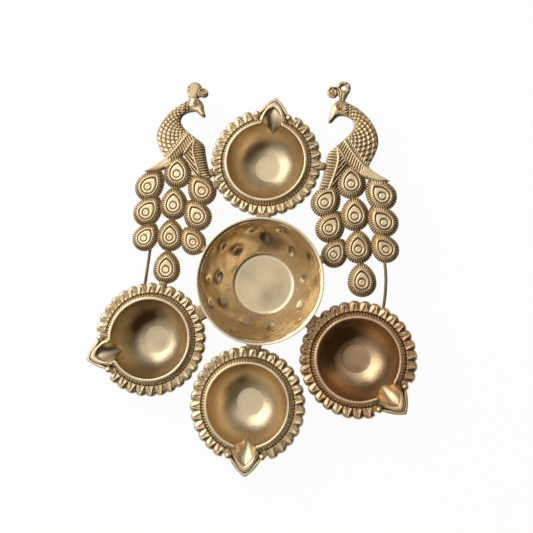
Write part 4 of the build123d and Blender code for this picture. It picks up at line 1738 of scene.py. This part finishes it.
@dataclass
class Studio:
    """Pale floor, soft lights and the photograph's camera, with places in metres and angles in degrees."""

    camera_place: Triple = (0.03673, -0.03451, 0.39432)
    camera_turn: Triple = (6.759, 5.052, 0.0)
    lens: float = 38.95
    sensor: float = 36.0
    near: float = 0.01
    # Name, place, width and radiance of the soft lights
    lights: tuple[tuple[str, Triple, float, float], ...] = (
        ("key_light", (-0.85, 0.56, 0.68), 1.30, 1.75),
        ("ceiling_light", (-0.25, 0.12, 0.95), 1.65, 0.58))
    surround: tuple[float, float] = (0.30, 0.02)
    surround_tint: Colour = (1.0, 0.98, 0.95)
    dark_side: Triple = (0.62, -0.74, 0.25)
    floor_size: float = 30.0
    floor_level: float = -0.0003
    floor_tone: float = 0.92
    floor_roughness: float = 0.9
    floor_white: float = 0.95

    def set_camera(self) -> None:
        """Add the camera that the photograph was fitted with."""
        data = bpy.data.cameras.new("photo_camera")
        data.lens = self.lens
        data.sensor_width = self.sensor
        data.clip_start = self.near
        camera = bpy.data.objects.new("photo_camera", data)
        camera.location = self.camera_place
        camera.rotation_euler = [math.radians(angle) for angle in self.camera_turn]
        bpy.context.scene.collection.objects.link(camera)
        bpy.context.scene.camera = camera

    def set_lights(self) -> None:
        """Add the square soft lights, aimed at the lamp's middle."""
        for name, place, width, radiance in self.lights:
            data = bpy.data.lights.new(name, "AREA")
            data.shape = "SQUARE"
            data.size = width
            data.energy = radiance * math.pi * width ** 2
            light = bpy.data.objects.new(name, data)
            light.location = place
            light.rotation_euler = (-Vector(place)).to_track_quat("-Z", "Y").to_euler()
            bpy.context.scene.collection.objects.link(light)

    def set_surround(self) -> None:
        """Add a dim surround that grows darker on one side."""
        world = bpy.data.worlds.new("dim_surround")
        world.use_nodes = True
        bench = NodeBench(world.node_tree)
        facing = bench.add("VectorMath")
        facing.operation = "DOT_PRODUCT"
        bench.feed(facing.inputs[0], bench.add("TexCoord").outputs["Generated"])
        bench.feed(facing.inputs[1], self.dark_side)
        shade = bench.span(facing.outputs["Value"], 0.25, 0.85)
        light, dark = self.surround
        sky = bench.tree.nodes["Background"]
        bench.feed(sky.inputs["Color"], (*self.surround_tint, 1.0))
        bench.feed(sky.inputs["Strength"], bench.reckon("MULTIPLY_ADD", shade, dark - light, light))
        bpy.context.scene.world = world

    def set_floor(self) -> None:
        """Lay the white floor, on which a trace of the lamp's shadow shows."""
        clear_bench()
        bpy.ops.mesh.primitive_plane_add(size=self.floor_size, location=(0.0, 0.0, self.floor_level))
        floor = bpy.context.active_object
        floor.name = "pale_floor"
        material = bpy.data.materials.new("pale_floor_paper")
        material.use_nodes = True
        bench = NodeBench(material.node_tree)
        paper = bench.tree.nodes["Principled BSDF"]
        bench.feed(paper.inputs["Base Color"], (*(self.floor_tone,) * 3, 1.0))
        bench.feed(paper.inputs["Roughness"], self.floor_roughness)
        rays = bench.add("LightPath").outputs
        seen = bench.reckon("MAXIMUM", rays["Is Camera Ray"], rays["Is Glossy Ray"])
        seen = bench.reckon("MAXIMUM", seen, rays["Is Transmission Ray"])
        white = bench.add("Emission")
        bench.feed(white.inputs["Color"], (1.0, 1.0, 1.0, 1.0))
        bench.feed(white.inputs["Strength"], 1.0)
        blend = bench.add("MixShader")
        bench.feed(blend.inputs["Fac"], bench.reckon("MULTIPLY", seen, self.floor_white))
        bench.feed(blend.inputs[1], paper.outputs["BSDF"])
        bench.feed(blend.inputs[2], white.outputs["Emission"])
        bench.feed(bench.tree.nodes["Material Output"].inputs["Surface"], blend.outputs["Shader"])
        floor.data.materials.append(material)

    def set_up(self) -> None:
        """Set up camera, lights, surround and floor."""
        self.set_camera()
        self.set_lights()
        self.set_surround()
        self.set_floor()
        bpy.context.scene.view_settings.view_transform = "Standard"


def main() -> None:
    """Build the lamp's looks in order."""
    logging.basicConfig(level=logging.INFO, format="%(message)s")
    Studio().set_up()
    bowl = CentreBowl()
    bowl.dress(bowl.build())
    Diyas().set_out()
    pattern = Feather()
    feather = pattern.build()
    cast = BrassFinish("cast_peacock_brass", grain=0.16).material()
    birds = (
        Peacock(Side.RIGHT, place=(59.924, 64.261), turn=0.0, crest_lobe=(-4.1, 66.7),
                crest_scroll=(-11.4, 63.8), drilled=True, lobe_radius=4.8, lobe_foot=1.1, scroll_radius=4.2,
                curl_pitch=2.0, feather_lee_shade=0.24,
                stem_path=((4.9, -7.0), (4.6, -4.6), (5.4, -1.8), (4.8, 1.0), (3.0, 2.8))),
        Peacock(Side.LEFT, place=(-57.309, 73.882), turn=-0.5, crest_lobe=(-10.2, 60.4),
                crest_scroll=(-16.8, 57.3), drilled=False, lobe_radius=5.2, lobe_foot=3.0, scroll_radius=3.7,
                curl_pitch=4.2, feather_lee_shade=0.06, stance=(0.91, -0.05, (-1.4, 1.2)),
                stem_path=((3.1, -2.2), (3.3, -0.2), (2.6, 1.7), (1.2, 2.7))),
    )
    for bird in birds:
        bird.dress(bird.build(feather, pattern.radius), cast)
    bpy.data.objects.remove(feather)
    Joins().dress()


if __name__ == "__main__":
    main()
